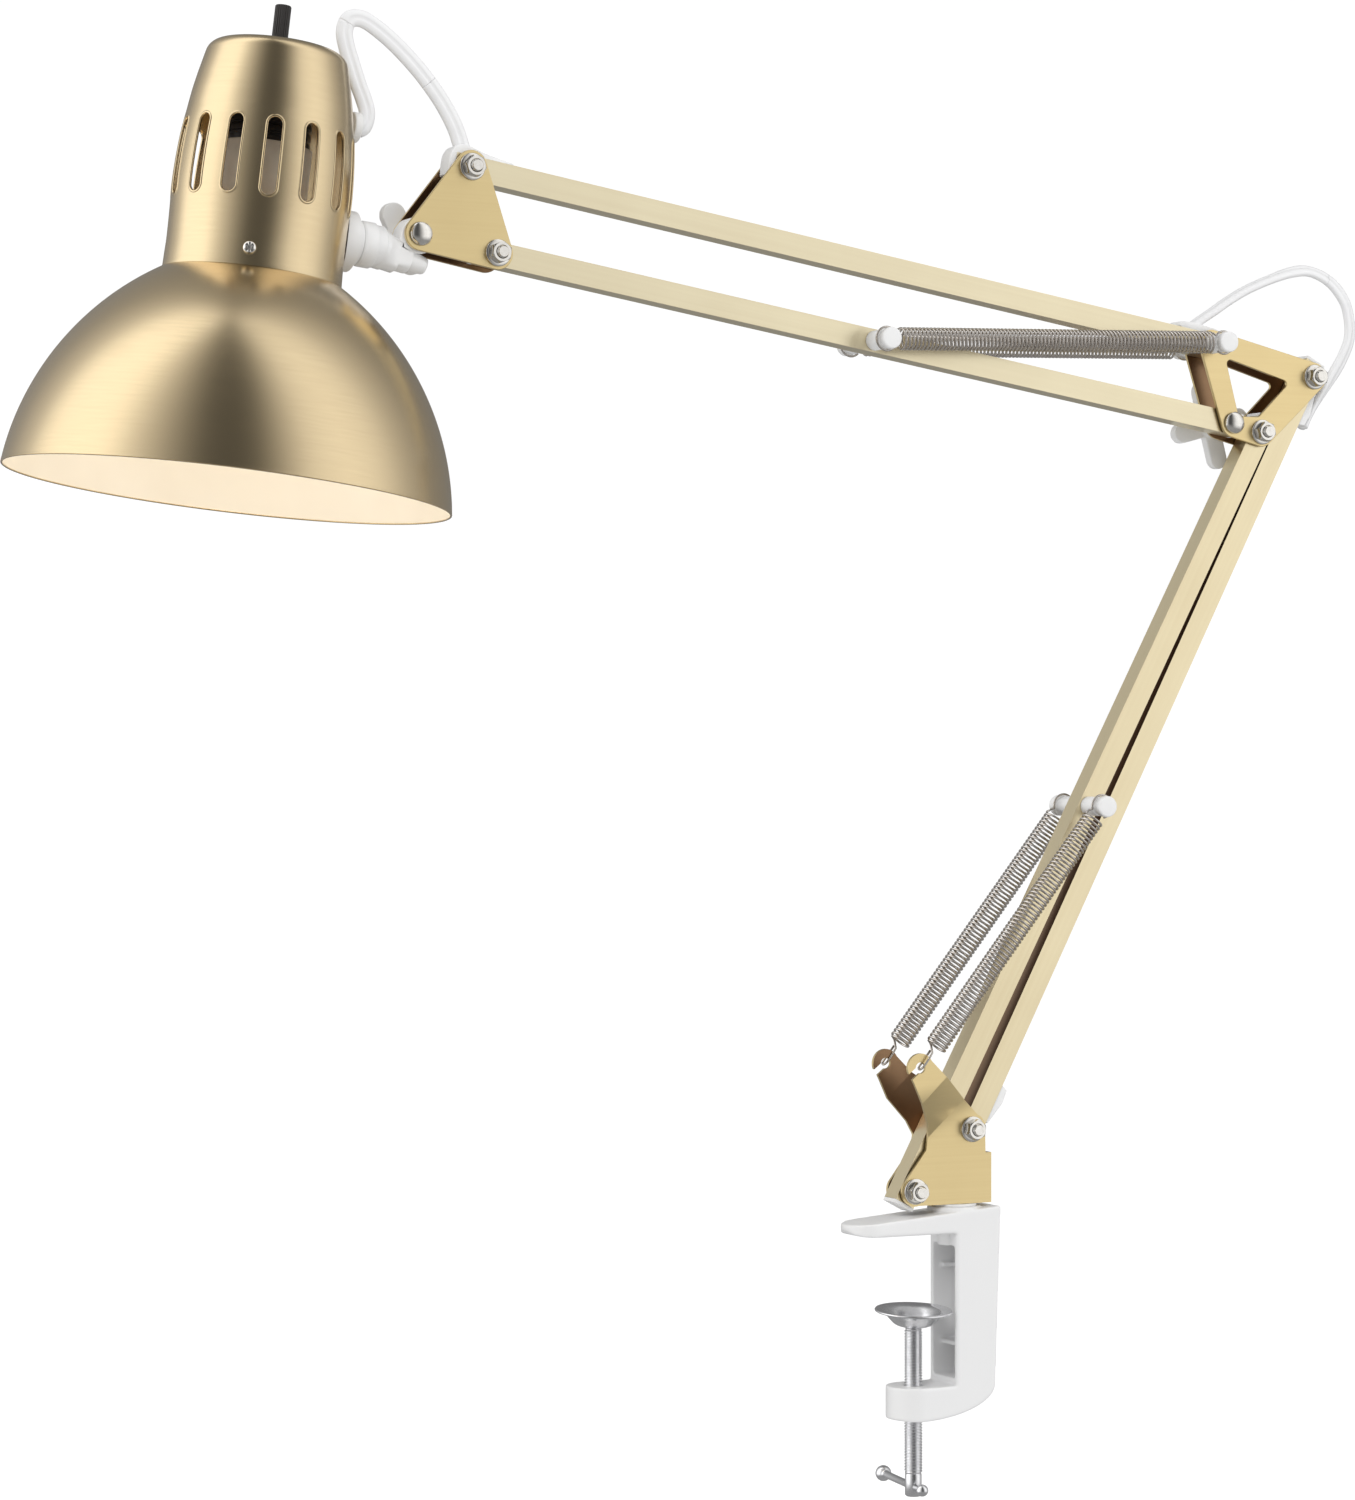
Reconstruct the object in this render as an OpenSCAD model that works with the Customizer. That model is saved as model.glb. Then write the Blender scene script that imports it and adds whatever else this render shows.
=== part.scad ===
// Clamp-on swing arm desk lamp: two parallelogram arms of square tube, held up by four
// springs, with a die-cast desk clamp at the foot and a swivelling dome shade at the head.
// The arms lie in the XZ plane and the head reaches towards -X. The origin is on the
// clamp screw's axis, at the underside of the top jaw, where the desk top's surface comes.

/* [Arms] */
// Lower arm, pivot to pivot
lower_arm = 378; // [340:1:420]
// Lower arm's angle above the horizontal
lower_angle = 61.8; // [60:0.1:75]
// Upper arm, pivot to pivot
upper_arm = 365; // [330:1:400]
// Upper arm's climb towards the head
upper_climb = 9.1; // [-5:0.1:25]
// Square tube, across its flats
tube = 10; // [9.5:0.1:10]
// Square tube's wall
tube_wall = 1; // [0.8:0.1:1.2]

/* [Side plates] */
// Sheet thickness of the brackets and side plates
sheet = 1.5; // [1:0.1:2]
// Corner radius round each pivot
corner_r = 6.5; // [6:0.1:7.5]
// Pivot bolt diameter
bolt_d = 5; // [4:0.5:5]

/* [Head] */
// Shade's diameter at its rim
shade_d = 181; // [160:1:200]
// Shade's height, from the cup's seam to the rim
shade_h = 86; // [80:1:95]
// Sheet thickness of the shade and the cup
shade_wall = 0.8; // [0.6:0.1:1.2]
// Lamp cup's height above the seam
cup_h = 94; // [90:1:100]
// Pitch of the ventilation slots round the cup, as a count; one place is left plain
vents = 14; // [8:2:16]
// Head's tilt from upright, top towards the arm
head_tilt = 7; // [0:1:15]

/* [Clamp] */
// Clear height between the jaws
jaw_gap = 66; // [60:1:80]
// Clamp's width
clamp_w = 24; // [22:1:28]
// Clamp screw's thread diameter
screw_d = 8; // [8:1:8]
// Pressure pad's diameter
pad_d = 34; // [30:1:36]
// Pressure pad's rim below the top jaw
pad_z = 33.4; // [30:0.1:45]

/* [Springs] */
// Springs' outside diameter
spring_d = 10; // [9:0.5:11]
// Springs' distance from the arms' middle plane
spring_y = 16; // [15:0.5:17]

/* [Hidden] */

$fn = 48;
brass = [0.80, 0.68, 0.43];
white = [0.92, 0.92, 0.91];
steel = [0.72, 0.72, 0.74];
black = [0.08, 0.08, 0.08];

// Pivots, each as [x, z] in the arms' middle plane
base_front = [-3, 18.5];
link_low = [28.3, 25.8];
link_high = [-11.5, 34.7];
base_rear = base_front + link_low;
lower_dir = [cos(lower_angle), sin(lower_angle)];
upper_dir = [-cos(upper_climb), sin(upper_climb)];
elbow_front = base_front + lower_arm * lower_dir;
elbow_rear = base_rear + lower_arm * lower_dir;
elbow_top = elbow_front + [-26.4, 38.4];
elbow_low = elbow_top - link_high;
head_top = elbow_top + upper_arm * upper_dir;
head_low = elbow_low + upper_arm * upper_dir;
head_pivot = head_top + [-22.6, -28.6];

// Stack across the arms: tube, gap with its spacer, plate
plate_in = tube / 2 + 0.6;
plate_out = plate_in + sheet;
run_fit = 0.05;
pin_r = bolt_d / 2;
washer_r = 5.6;
washer_t = 1;
nut_af = 8;
nut_t = 4;
spacer_r = 4.6;
spacer_t = 0.5;
tube_tail = 6.5;
plug_cap = 1.5;
plug_len = 12;
// The lower tubes are drilled off their centre line, so they lean together at the elbow
tube_lean = 1.1;

// Clamp
swivel_x = 20;
swivel_r = 6;
bush_r = 7;
jaw_z = -jaw_gap;
column_in = 15;
clamp_out = 37;
deck_z = 11;
bracket_z = 12.2;

// Springs and their posts
post_r = 3.3;
cap_r = 4.6;
cap_t = 2;
post_y = 21.4;
hook_eye = base_front + [-2.5, 54];
hook_y = 16.1;
lower_post = base_front + 0.497 * lower_arm * lower_dir;
upper_post = head_low + 0.493 * (elbow_low - head_low);
coil_end = 7;

// Head: its own frame has its origin on the cup's axis at the seam, with +X to the arm
head_at = head_pivot - 67.5 * [cos(head_tilt), -sin(head_tilt)]
  - 29.6 * [sin(head_tilt), cos(head_tilt)];
shade_r = shade_d / 2;
arc_r = 115.4;
arc_c = [-24.3, -98.2];
cup_r = 36.1;
vent_turn = 22.5;
screw_turns = [6.6, 126.6, 246.6];
knuckle_z = 22.1;
vent_r = 2.9;
vent_low = 31.5;
vent_high = 57;
gland_z = 68.5;

// Cord routes as [x, y, z], on the arms' middle plane
cord_w = 7.2;
cord_t = 3.6;
head_route = [
  [-209, 0, 453.5], [-212, 0, 460], [-216, 0, 467], [-222, 0, 475], [-231, 0, 486],
  [-242, 0, 496], [-251, 0, 503], [-258, 0, 507], [-263, 0, 506], [-265, 0, 501],
  [-264, 0, 495], [-262, 0, 488], [-259, 0, 480], [-256, 0, 473], [-254.6, 0, 467],
  [-255, 0, 461.5]
];
elbow_route = [
  [145, 0, 399.5], [149, 0, 402], [155, 0, 406], [162, 0, 411], [172, 0, 416],
  [184, 0, 421], [196, 0, 425], [206, 0, 426], [217, 0, 422], [225, 0, 414],
  [228, 0, 405], [228, 0, 396], [224, 0, 387], [218, 0, 378], [213, 0, 371.5],
  [209, 0, 366]
];

// Moves its children to an [x, z] place
module at(p, y = 0) translate([p[0], y, p[1]]) children();

// Turns its children so that their +Z runs along an [x, z] direction and +X across it
module along(d) rotate([0, atan2(d[0], d[1]), 0]) children();

// Puts a flat shape drawn in x and z on the slab from y0 to y0 + t
module slab(y0, t) translate([0, y0 + t, 0]) rotate([90, 0, 0]) linear_extrude(t) children();

// A round bar across the arms, from y0 to y1
module across(y0, y1, r) translate([0, y0, 0]) rotate([-90, 0, 0]) cylinder(h = y1 - y0, r = r);

// A ring across the arms, from y0 to y1
module ring_across(y0, y1, r, hole)
  difference() {
    across(y0, y1, r);
    across(y0 - 1, y1 + 1, hole);
  }

// Places its children on both sides of the middle plane
module both_sides() {
  children();
  mirror([0, 1, 0]) children();
}

// The straight edges of an outline round its corners, moved out by r (corners anticlockwise)
function edges_out(p, r) = [
  for (i = [0 : len(p) - 1])
    let (a = p[i], b = p[(i + 1) % len(p)], d = (b - a) / norm(b - a), n = [d[1], -d[0]])
      each [a + r * n, b + r * n]
];

// A flat web with a round corner at each point
module web(p, r) {
  polygon(edges_out(p, r));
  for (q = p) translate(q) circle(r = r);
}

// A square tube between two pivots, with a bolt hole at each and a tail past each
module square_tube(a, b, tail_a, tail_b, lean_a = 0, lean_b = 0, holes = [], slots = []) {
  d = (b - a) / norm(b - a);
  side = [-d[1], d[0]];
  from = a + lean_a * side;
  to = b + lean_b * side;
  e = (to - from) / norm(to - from);
  inside = tube - 2 * tube_wall;
  length = norm(to - from) + tail_a + tail_b;
  difference() {
    at(from - tail_a * e) along(e)
      translate([-tube / 2, -tube / 2, 0]) cube([tube, tube, length]);
    at(from - tail_a * e) along(e)
      translate([-inside / 2, -inside / 2, -1]) cube([inside, inside, length + 2]);
    for (h = concat([a, b], holes)) at(h) across(-tube, tube, pin_r + run_fit);
    for (s = slots) at(s) along(e) translate([-3, -3.9, -6]) cube([6, 7.8, 12]);
  }
}

// A plastic plug that fills a tube's end round the bolt, with a cap outside
module end_plug(p, out, tail, lean = 0) {
  side = [out[1], -out[0]];
  inside = tube - 2 * tube_wall - 0.3;
  difference() {
    at(p + lean * side + tail * out) along(out) {
      translate([-tube / 2, -tube / 2, 0.06]) cube([tube, tube, plug_cap]);
      translate([-inside / 2, -inside / 2, -plug_len]) cube([inside, inside, plug_len + 0.1]);
    }
    at(p) across(-tube, tube, pin_r + run_fit);
  }
}

// Hexagon nut with its bolt hole
module nut(y0)
  translate([0, y0 + nut_t, 0]) rotate([90, 0, 0]) difference() {
    cylinder(h = nut_t, d = nut_af / cos(30), $fn = 6);
    translate([0, 0, -1]) cylinder(h = nut_t + 2, r = pin_r + 0.02);
  }

// Bolt with a domed head on the far side and a stud end past the near nut
module nut_bolt() {
  across(-plate_out - washer_t - nut_t - 1.6, plate_out + 0.02, pin_r);
  dome_head(plate_out + 0.02, 1);
}

// Domed head, from y0 outwards along the given side
module dome_head(y0, side)
  translate([0, y0, 0]) rotate([side > 0 ? -90 : 90, 0, 0])
    rotate_extrude() polygon([
      [0, 0], [4.8, 0], [4.8, 0.9],
      for (a = [15 : 15 : 75]) [4.8 * cos(a), 0.9 + 2 * sin(a)],
      [0, 2.9]
    ]);

// Bolt with a domed head on the near side that a winged knob holds on the far side
module knob_bolt() {
  dome_head(-plate_out - 0.02, -1);
  across(-plate_out - 0.02, plate_out + 9, pin_r);
}

// Knob on the far side with four rounded lobes, one of them at the given angle
module wing_knob(turn, reach, lobe_r)
  difference() {
    rotate([0, -turn, 0]) {
      across(plate_out + 0.1, plate_out + 11, 5.5);
      for (a = [0, 90]) rotate([0, a, 0]) slab(plate_out + 3.9, 4.4) {
        translate([lobe_r - reach, -lobe_r]) square([2 * (reach - lobe_r), 2 * lobe_r]);
        for (s = [-1, 1]) translate([s * (reach - lobe_r), 0]) circle(r = lobe_r);
      }
    }
    across(0, plate_out + 9.2, pin_r + run_fit);
  }

// Spacers between a tube and both plates
module spacer_pair() both_sides() ring_across(tube / 2 + 0.05, tube / 2 + 0.05 + spacer_t,
  spacer_r, pin_r + run_fit);

// Spring post: a sleeve with a cap, from y0 out to its face
module post(y0) {
  across(y0, post_y - cap_t, post_r);
  across(post_y - cap_t, post_y, cap_r);
}

// Spring as a plain sleeve of the coil's outside and inside, with straight wire ends
module spring(a, b, y) {
  d = (b - a) / norm(b - a);
  reach = norm(b - a);
  at(a + (coil_end + 2) * d, y) along(d) difference() {
    cylinder(h = reach - 2 * coil_end - 2, r = spring_d / 2);
    translate([0, 0, -1]) cylinder(h = reach, r = spring_d / 2 - 1.2);
  }
}

// ---- Clamp ----

// Side view of the clamp casting
module clamp_side() polygon([
  [-33.5, 5.1], [-34, 4.6], [-34, 2.8], [-32.6, 1.2], [-30, 0.3], [-26, 0],
  [column_in, 0], [column_in, jaw_z], [-13, jaw_z],
  [-13, jaw_z - 13.6],
  for (t = [104 : -8 : 8]) [-3 + 37.4 * cos(t), jaw_z - 14.5 * sin(t)],
  [clamp_out - 2.6, jaw_z], [clamp_out, deck_z]
]);

// Top view of the clamp casting: round jaw ends and a square column
module clamp_top() {
  translate([-34 + clamp_w / 2, 0]) circle(d = clamp_w);
  translate([-34 + clamp_w / 2, -clamp_w / 2]) square([34 - clamp_w / 2 + clamp_out, clamp_w]);
}
module clamp_low() {
  circle(d = clamp_w);
  translate([0, -clamp_w / 2]) square([clamp_out + 1, clamp_w]);
}
module clamp_body() color(white)
  difference() {
    union() {
      intersection() {
        slab(-clamp_w, 2 * clamp_w) clamp_side();
        union() {
          translate([0, 0, -5]) linear_extrude(40) clamp_top();
          translate([0, 0, jaw_z - 30]) linear_extrude(jaw_gap + 26) clamp_low();
        }
      }
      translate([swivel_x, 0, 8]) cylinder(h = deck_z - 8, r = 11.5);
    }
    channel(rib_set, -6, rib_high);
    channel(rib_set, rib_high - rib_t, rib_low);
    channel(rib_set, rib_low - rib_t, jaw_z + 3);
    channel(-2, -6, jaw_z + 3, rib_set + 2);
    translate([swivel_x, 0, -30]) cylinder(h = 60, r = bush_r + 0.03);
    translate([0, 0, jaw_z - 30]) cylinder(h = 40, r = screw_d / 2 + run_fit);
  }

// One hollow of the ribbed column, from a depth behind its inner face
rib_set = 4;
rib_t = 2;
rib_high = -14.8;
rib_low = -48;
module channel(from, top, bottom, depth = clamp_out - column_in - 5.5 - rib_set)
  translate([column_in + from, -clamp_w / 2 + 2.8, bottom])
    cube([depth, clamp_w - 5.6, top - bottom]);

module swivel_bush() color(white)
  translate([swivel_x, 0, 0]) difference() {
    union() {
      translate([0, 0, -5.9]) cylinder(h = deck_z + 6, r = bush_r);
      translate([0, 0, deck_z + 0.01]) cylinder(h = 1.1, r = 10);
    }
    translate([0, 0, -10]) cylinder(h = 40, r = swivel_r + run_fit);
  }

// Rivet that carries the pad on the screw's end
module pad_spigot() color(steel) {
  translate([0, 0, -pad_z - 5.4]) cylinder(h = 1.4, r = 3.4);
  translate([0, 0, -pad_z - 17]) cylinder(h = 11.7, r = 2);
}

// Pressed dish with a flat rim, hanging a little tilted on its rivet
pad_lean = 4;
module pressure_pad() color(steel)
  translate([0, 0, -pad_z - 7]) rotate([pad_lean, 0, 0])
    rotate_extrude() polygon([
      [2.7, 0], [6, 0], [8.5, 1], [12.5, 5], [pad_d / 2 - 0.4, 6.2], [pad_d / 2, 6.8],
      [pad_d / 2 - 0.5, 7.3], [12, 6.3], [7.8, 2.1], [5.8, 1.2], [2.7, 1.2]
    ]);

// Clamp screw: threaded shank, plain end with a cross hole
screw_top = -pad_z - 8;
thread_end = -104;
screw_end = -114;
tommy_z = -110;
tommy_turn = -8;
module clamp_screw() color(steel)
  difference() {
    union() {
      translate([0, 0, thread_end]) cylinder(h = screw_top - thread_end, r = screw_d / 2);
      translate([0, 0, screw_end]) cylinder(h = thread_end - screw_end, r = screw_d / 2 - 0.4);
    }
    translate([0, 0, -pad_z - 17.2]) cylinder(h = 20, r = 2 + run_fit);
    translate([0, 0, tommy_z]) rotate([0, 0, tommy_turn]) across(-10, 10, 1.7);
  }

// Sliding bar through the screw, with a ball on one end and an upset button on the other
module tommy_bar() color(steel)
  translate([0, 0, tommy_z]) rotate([0, 0, tommy_turn]) {
    across(-10, 36, 1.6);
    translate([0, 36, 0]) sphere(r = 3.5);
    translate([0, -10.5, 0]) sphere(r = 2.6);
  }

// ---- Base bracket ----
fold = 42;
fold_low = 12.8;
fold_high = 29.7;
web_in = 36.4;
web_top = 15.5;
floor_from = 10.5;

// Outline of a side plate with its spring hook, from the front pivot
module bracket_side() {
  difference() {
    union() {
      polygon([
        [0, -6.3], [web_in + sheet, -6.3], [web_in + sheet, web_top], [35, web_top],
        [34.8, 25.8], [31.5, 31.5], [23.9, 39.2], [10.1, 50], [0.8, 59],
        [-8, 52], [-5.5, 47.2], [-1.5, 38.6], [4.6, 29], [6.3, 23.4], [5.4, 17.5],
        [1.8, 12.8], [-4.6, 4.6]
      ]);
      circle(r = corner_r);
      translate(link_low) circle(r = corner_r + 0.3);
      translate(hook_eye - base_front) circle(r = 6.2);
    }
    translate(hook_eye - base_front) circle(r = 2.4);
    translate(hook_eye - base_front) rotate(218) translate([0, -1.5]) square([12, 3]);
    circle(r = pin_r + run_fit);
    translate(link_low) circle(r = pin_r + run_fit);
  }
}

// Sheet that steps outwards across the fold lines, drawn along the fold's normal
module stepped_sheet()
  rotate([0, -(90 + fold), 0]) translate([0, 0, -70]) linear_extrude(140) polygon([
    [-60, -plate_out], [fold_low, -plate_out], [fold_high, -hook_y],
    [80, -hook_y], [80, -hook_y + sheet], [fold_high, -hook_y + sheet],
    [fold_low, -plate_in], [-60, -plate_in]
  ]);

module base_bracket() color(brass)
  difference() {
    at(base_front) union() {
      both_sides() intersection() {
        stepped_sheet();
        slab(-20, 20) bracket_side();
      }
      translate([web_in, -plate_out, -6.3]) cube([sheet, 2 * plate_out, web_top + 6.3]);
      translate([floor_from, -plate_out, -6.3])
        cube([web_in + sheet - floor_from, 2 * plate_out, sheet]);
    }
    translate([swivel_x, 0, 0]) cylinder(h = 20, r = 4.02);
  }

module swivel_pin() color(steel)
  translate([swivel_x, 0, 0]) {
    translate([0, 0, -5.5]) cylinder(h = 5.5 + bracket_z - 0.02, r = swivel_r);
    translate([0, 0, bracket_z - 0.1]) cylinder(h = sheet + 0.2, r = 4);
    translate([0, 0, bracket_z + sheet + 0.02]) cylinder(h = 1.6, r = 5.2);
  }

module base_bolts() color(steel) for (p = [base_front, base_rear]) at(p) nut_bolt();
module base_nuts() color(steel)
  for (p = [base_front, base_rear]) at(p) nut(-plate_out - washer_t - nut_t - 0.04);
module base_washers() color(steel)
  for (p = [base_front, base_rear]) at(p)
    ring_across(-plate_out - washer_t - 0.02, -plate_out - 0.02, washer_r, pin_r + 0.02);
module base_spacers() color(white) for (p = [base_front, base_rear]) at(p) spacer_pair();

// ---- Lower arm ----

module lower_front_tube() color(brass)
  square_tube(base_front, elbow_front, tube_tail, tube_tail, tube_lean, -tube_lean,
    holes = [lower_post]);
module lower_rear_tube() color(brass)
  square_tube(base_rear, elbow_rear, tube_tail, tube_tail, -tube_lean, tube_lean,
    slots = [rear_low_slot, rear_high_slot]);
module lower_front_plugs() color(white) {
  end_plug(base_front, -lower_dir, tube_tail, tube_lean);
  end_plug(elbow_front, lower_dir, tube_tail, tube_lean);
}
module lower_rear_plugs() color(white) {
  end_plug(base_rear, -lower_dir, tube_tail, -tube_lean);
  end_plug(elbow_rear, lower_dir, tube_tail, -tube_lean);
}
module lower_spring_posts() color(white)
  at(lower_post) {
    across(-tube / 2 - 1, tube / 2 + 1, pin_r);
    both_sides() post(tube / 2 + 0.02);
  }
module lower_spring_near() color(steel) spring(hook_eye, lower_post, -spring_y);
module lower_spring_far() color(steel) spring(hook_eye, lower_post, spring_y);

// Cord guides on the rear tube's back: the outlet at the base and the inlet at the elbow
lower_side = [lower_dir[1], -lower_dir[0]];
rear_low_slot = base_rear + 15 * lower_dir + (tube / 2 + tube_lean) * lower_side;
rear_high_slot = elbow_rear - 13 * lower_dir + (tube / 2 - tube_lean) * lower_side;

// Guide with a mouth, its base on the tube face through p, leaning out along d
module cord_guide(p, d, side)
  difference() {
    at(p + 0.02 * side) multmatrix([
      [d[0], 0, side[0], 0], [0, 1, 0, 0], [d[1], 0, side[1], 0], [0, 0, 0, 1]
    ]) translate([0, 4.6, 0]) rotate([90, 0, 0]) linear_extrude(9.2)
      polygon([[-9, 0], [9, 0], [8, 3.2], [2, 3.8], [-9, 1.2]]);
    at(p) multmatrix([
      [d[0], 0, side[0], 0], [0, 1, 0, 0], [d[1], 0, side[1], 0], [0, 0, 0, 1]
    ]) translate([-5.5, -3.7, -1]) cube([11, 7.4, 8]);
  }
module lower_cord_guides() color(white) {
  cord_guide(rear_low_slot, lower_dir, lower_side);
  cord_guide(rear_high_slot + 0.2 * lower_side, -lower_dir, lower_side);
}

// ---- Elbow ----

// Elbow side plate: four pivots round an open window
module elbow_side()
  difference() {
    web([elbow_low, elbow_front, elbow_rear, elbow_top], corner_r);
    web([
      elbow_front + [-11, 8.5], elbow_front + [-2.5, 8.5],
      elbow_front + [11.5, 22], elbow_front + [-16.8, 30]
    ], 1.8);
    for (p = [elbow_low, elbow_front, elbow_rear, elbow_top])
      translate(p) circle(r = pin_r + 0.02);
  }
module elbow_plate_near() color(brass) slab(-plate_out, sheet) elbow_side();
module elbow_plate_far() color(brass) slab(plate_in, sheet) elbow_side();
module elbow_bolts() color(steel) {
  for (p = [elbow_front, elbow_rear]) at(p) nut_bolt();
  at(elbow_low) knob_bolt();
}
module elbow_nuts() color(steel)
  for (p = [elbow_front, elbow_rear]) at(p) nut(-plate_out - washer_t - nut_t - 0.04);
module elbow_washers() color(steel)
  for (p = [elbow_front, elbow_rear]) at(p)
    ring_across(-plate_out - washer_t - 0.02, -plate_out - 0.02, washer_r, pin_r + 0.02);
module elbow_spacers() color(white)
  for (p = [elbow_front, elbow_rear, elbow_low, elbow_top]) at(p) spacer_pair();
module elbow_spring_posts() color(white)
  at(elbow_top) {
    across(-plate_out - 1, plate_out + 1, pin_r);
    both_sides() post(plate_out + 0.02);
  }
module elbow_knob() color(white) at(elbow_low) wing_knob(15, 20, 4.4);

// ---- Upper arm ----
upper_side = [upper_dir[1], -upper_dir[0]];
top_head_slot = head_top - 14 * upper_dir + tube / 2 * upper_side;
top_elbow_slot = elbow_top + 5 * upper_dir + tube / 2 * upper_side;
module upper_top_tube() color(brass)
  square_tube(elbow_top, head_top, tube_tail, tube_tail,
    slots = [top_head_slot, top_elbow_slot + 8 * upper_dir]);
module upper_bottom_tube() color(brass)
  square_tube(elbow_low, head_low, tube_tail - 2, tube_tail, holes = [upper_post]);
module upper_top_plugs() color(white) {
  end_plug(elbow_top, -upper_dir, tube_tail);
  end_plug(head_top, upper_dir, tube_tail);
}
module upper_bottom_plugs() color(white) {
  end_plug(elbow_low, -upper_dir, tube_tail - 2);
  end_plug(head_low, upper_dir, tube_tail);
}
module upper_spring_posts() color(white)
  at(upper_post) {
    across(-tube / 2 - 1, tube / 2 + 1, pin_r);
    both_sides() post(tube / 2 + 0.02);
  }
module upper_spring_near() color(steel) spring(elbow_top, upper_post, -spring_y);
module upper_spring_far() color(steel) spring(elbow_top, upper_post, spring_y);
module upper_cord_guides() color(white) {
  cord_guide(top_head_slot, -upper_dir, upper_side);
  cord_guide(top_elbow_slot + 8 * upper_dir, upper_dir, upper_side);
}

// ---- Head bracket ----
module head_side()
  difference() {
    web([head_top, head_pivot, head_low], corner_r + 0.4);
    for (p = [head_top, head_pivot, head_low]) translate(p) circle(r = pin_r + 0.02);
  }
module head_plate_near() color(brass) slab(-plate_out, sheet) head_side();
module head_plate_far() color(brass) slab(plate_in, sheet) head_side();
module head_bolts() color(steel) {
  for (p = [head_top, head_low]) at(p) nut_bolt();
  at(head_pivot) knob_bolt();
}
module head_nuts() color(steel)
  for (p = [head_top, head_low]) at(p) nut(-plate_out - washer_t - nut_t - 0.04);
module head_washers() color(steel)
  for (p = [head_top, head_low]) at(p)
    ring_across(-plate_out - washer_t - 0.02, -plate_out - 0.02, washer_r, pin_r + 0.02);
module head_spacers() color(white)
  for (p = [head_top, head_low, head_pivot]) at(p) spacer_pair();
module head_knob() color(white) at(head_pivot) wing_knob(24, 15.5, 5.2);

// ---- Head ----
module in_head() at(head_at) rotate([0, head_tilt, 0]) children();

// Knuckle: round tongue between the plates, stepped barrel below it, and a running neck
neck_x = 43;
barrel_end = 75;
module knuckle() color(white)
  in_head() difference() {
    union() {
      translate([67.5, 0, 29.6]) across(-tube / 2, tube / 2, 7.2);
      translate([60.5, -tube / 2, knuckle_z]) cube([14, tube, 7.5]);
      translate([neck_x, 0, knuckle_z]) rotate([0, 90, 0]) rotate_extrude() polygon([
        [0, 0], [8.6, 0], [9.4, 0.8], [9.4, 7], [9, 7.4], [9, 12], [8.6, 12.4],
        [8.6, 16.3], [0, 16.3]
      ]);
      intersection() {
        translate([neck_x + 16.2, 0, knuckle_z]) rotate([0, 90, 0])
          cylinder(h = barrel_end - neck_x - 16.2, r = 8.4);
        translate([neck_x, -tube / 2, 0]) cube([60, tube, 60]);
      }
      translate([neck_x - 7.4, 0, knuckle_z]) rotate([0, 90, 0]) cylinder(h = 8, r = 5);
    }
    translate([67.5, 0, 29.6]) across(-20, 20, pin_r + run_fit);
  }

// Flange fixed on the cup's side, in which the knuckle's neck turns
module swivel_flange() color(white)
  in_head() difference() {
    union() {
      translate([30, 0, knuckle_z]) rotate([0, 90, 0]) cylinder(h = 10, r = 12.4);
      translate([39.9, 0, knuckle_z]) rotate([0, 90, 0]) cylinder(h = 2.9, r = 9);
    }
    cylinder(h = 100, r = cup_r + 0.15);
    translate([20, 0, knuckle_z]) rotate([0, 90, 0]) cylinder(h = 40, r = 5 + run_fit);
  }

// Cup wall: a slightly barrelled side with a rounded top edge, as [radius, height]
function cup_line(inset) = concat(
  [[cup_r - inset, 0], [cup_r - 0.4 - inset, 12], [cup_r - inset, 34],
   [cup_r - 0.7 - inset, 50], [cup_r - 2.4 - inset, 64], [cup_r - 5.2 - inset, 80]],
  [for (a = [0 : 15 : 90])
    [22.7 + (6 - inset) * cos(a), cup_h - 6 - inset + 6 * sin(a)]],
  [[0, cup_h - inset]]
);
module socket_cup() color(brass)
  in_head() difference() {
    rotate_extrude($fn = 64) polygon(concat(cup_line(0), [[0, cup_h - shade_wall]],
      [for (i = [len(cup_line(shade_wall)) - 2 : -1 : 0]) cup_line(shade_wall)[i]]));
    for (i = [0 : vents - 1])
      if (cos(vent_turn + i * 360 / vents) < 0.98)
        rotate([0, 0, vent_turn + i * 360 / vents]) vent_cut();
    translate([0, 0, cup_h - 8]) cylinder(h = 20, r = 3.4);
    translate([20, 0, gland_z]) rotate([0, 90, 0]) cylinder(h = 30, r = 3.6);
    translate([20, 0, knuckle_z]) rotate([0, 90, 0]) cylinder(h = 30, r = 5.4);
    for (a = screw_turns) rotate([0, 0, a]) translate([30, 0, 6.7])
      rotate([0, 90, 0]) cylinder(h = 20, r = 1.3);
  }
module vent_cut() {
  translate([20, -vent_r, vent_low]) cube([30, 2 * vent_r, vent_high - vent_low]);
  for (z = [vent_low, vent_high]) translate([20, 0, z]) rotate([0, 90, 0])
    cylinder(h = 30, r = vent_r);
}
module cup_screws() color(steel)
  in_head() for (a = screw_turns) rotate([0, 0, a]) translate([cup_r - 0.1, 0, 6.7])
    rotate([0, 90, 0]) {
      translate([0, 0, -4]) cylinder(h = 5, r = 1.25);
      translate([0, 0, 0.2]) cylinder(h = 1.3, r = 2.1);
    }

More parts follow.
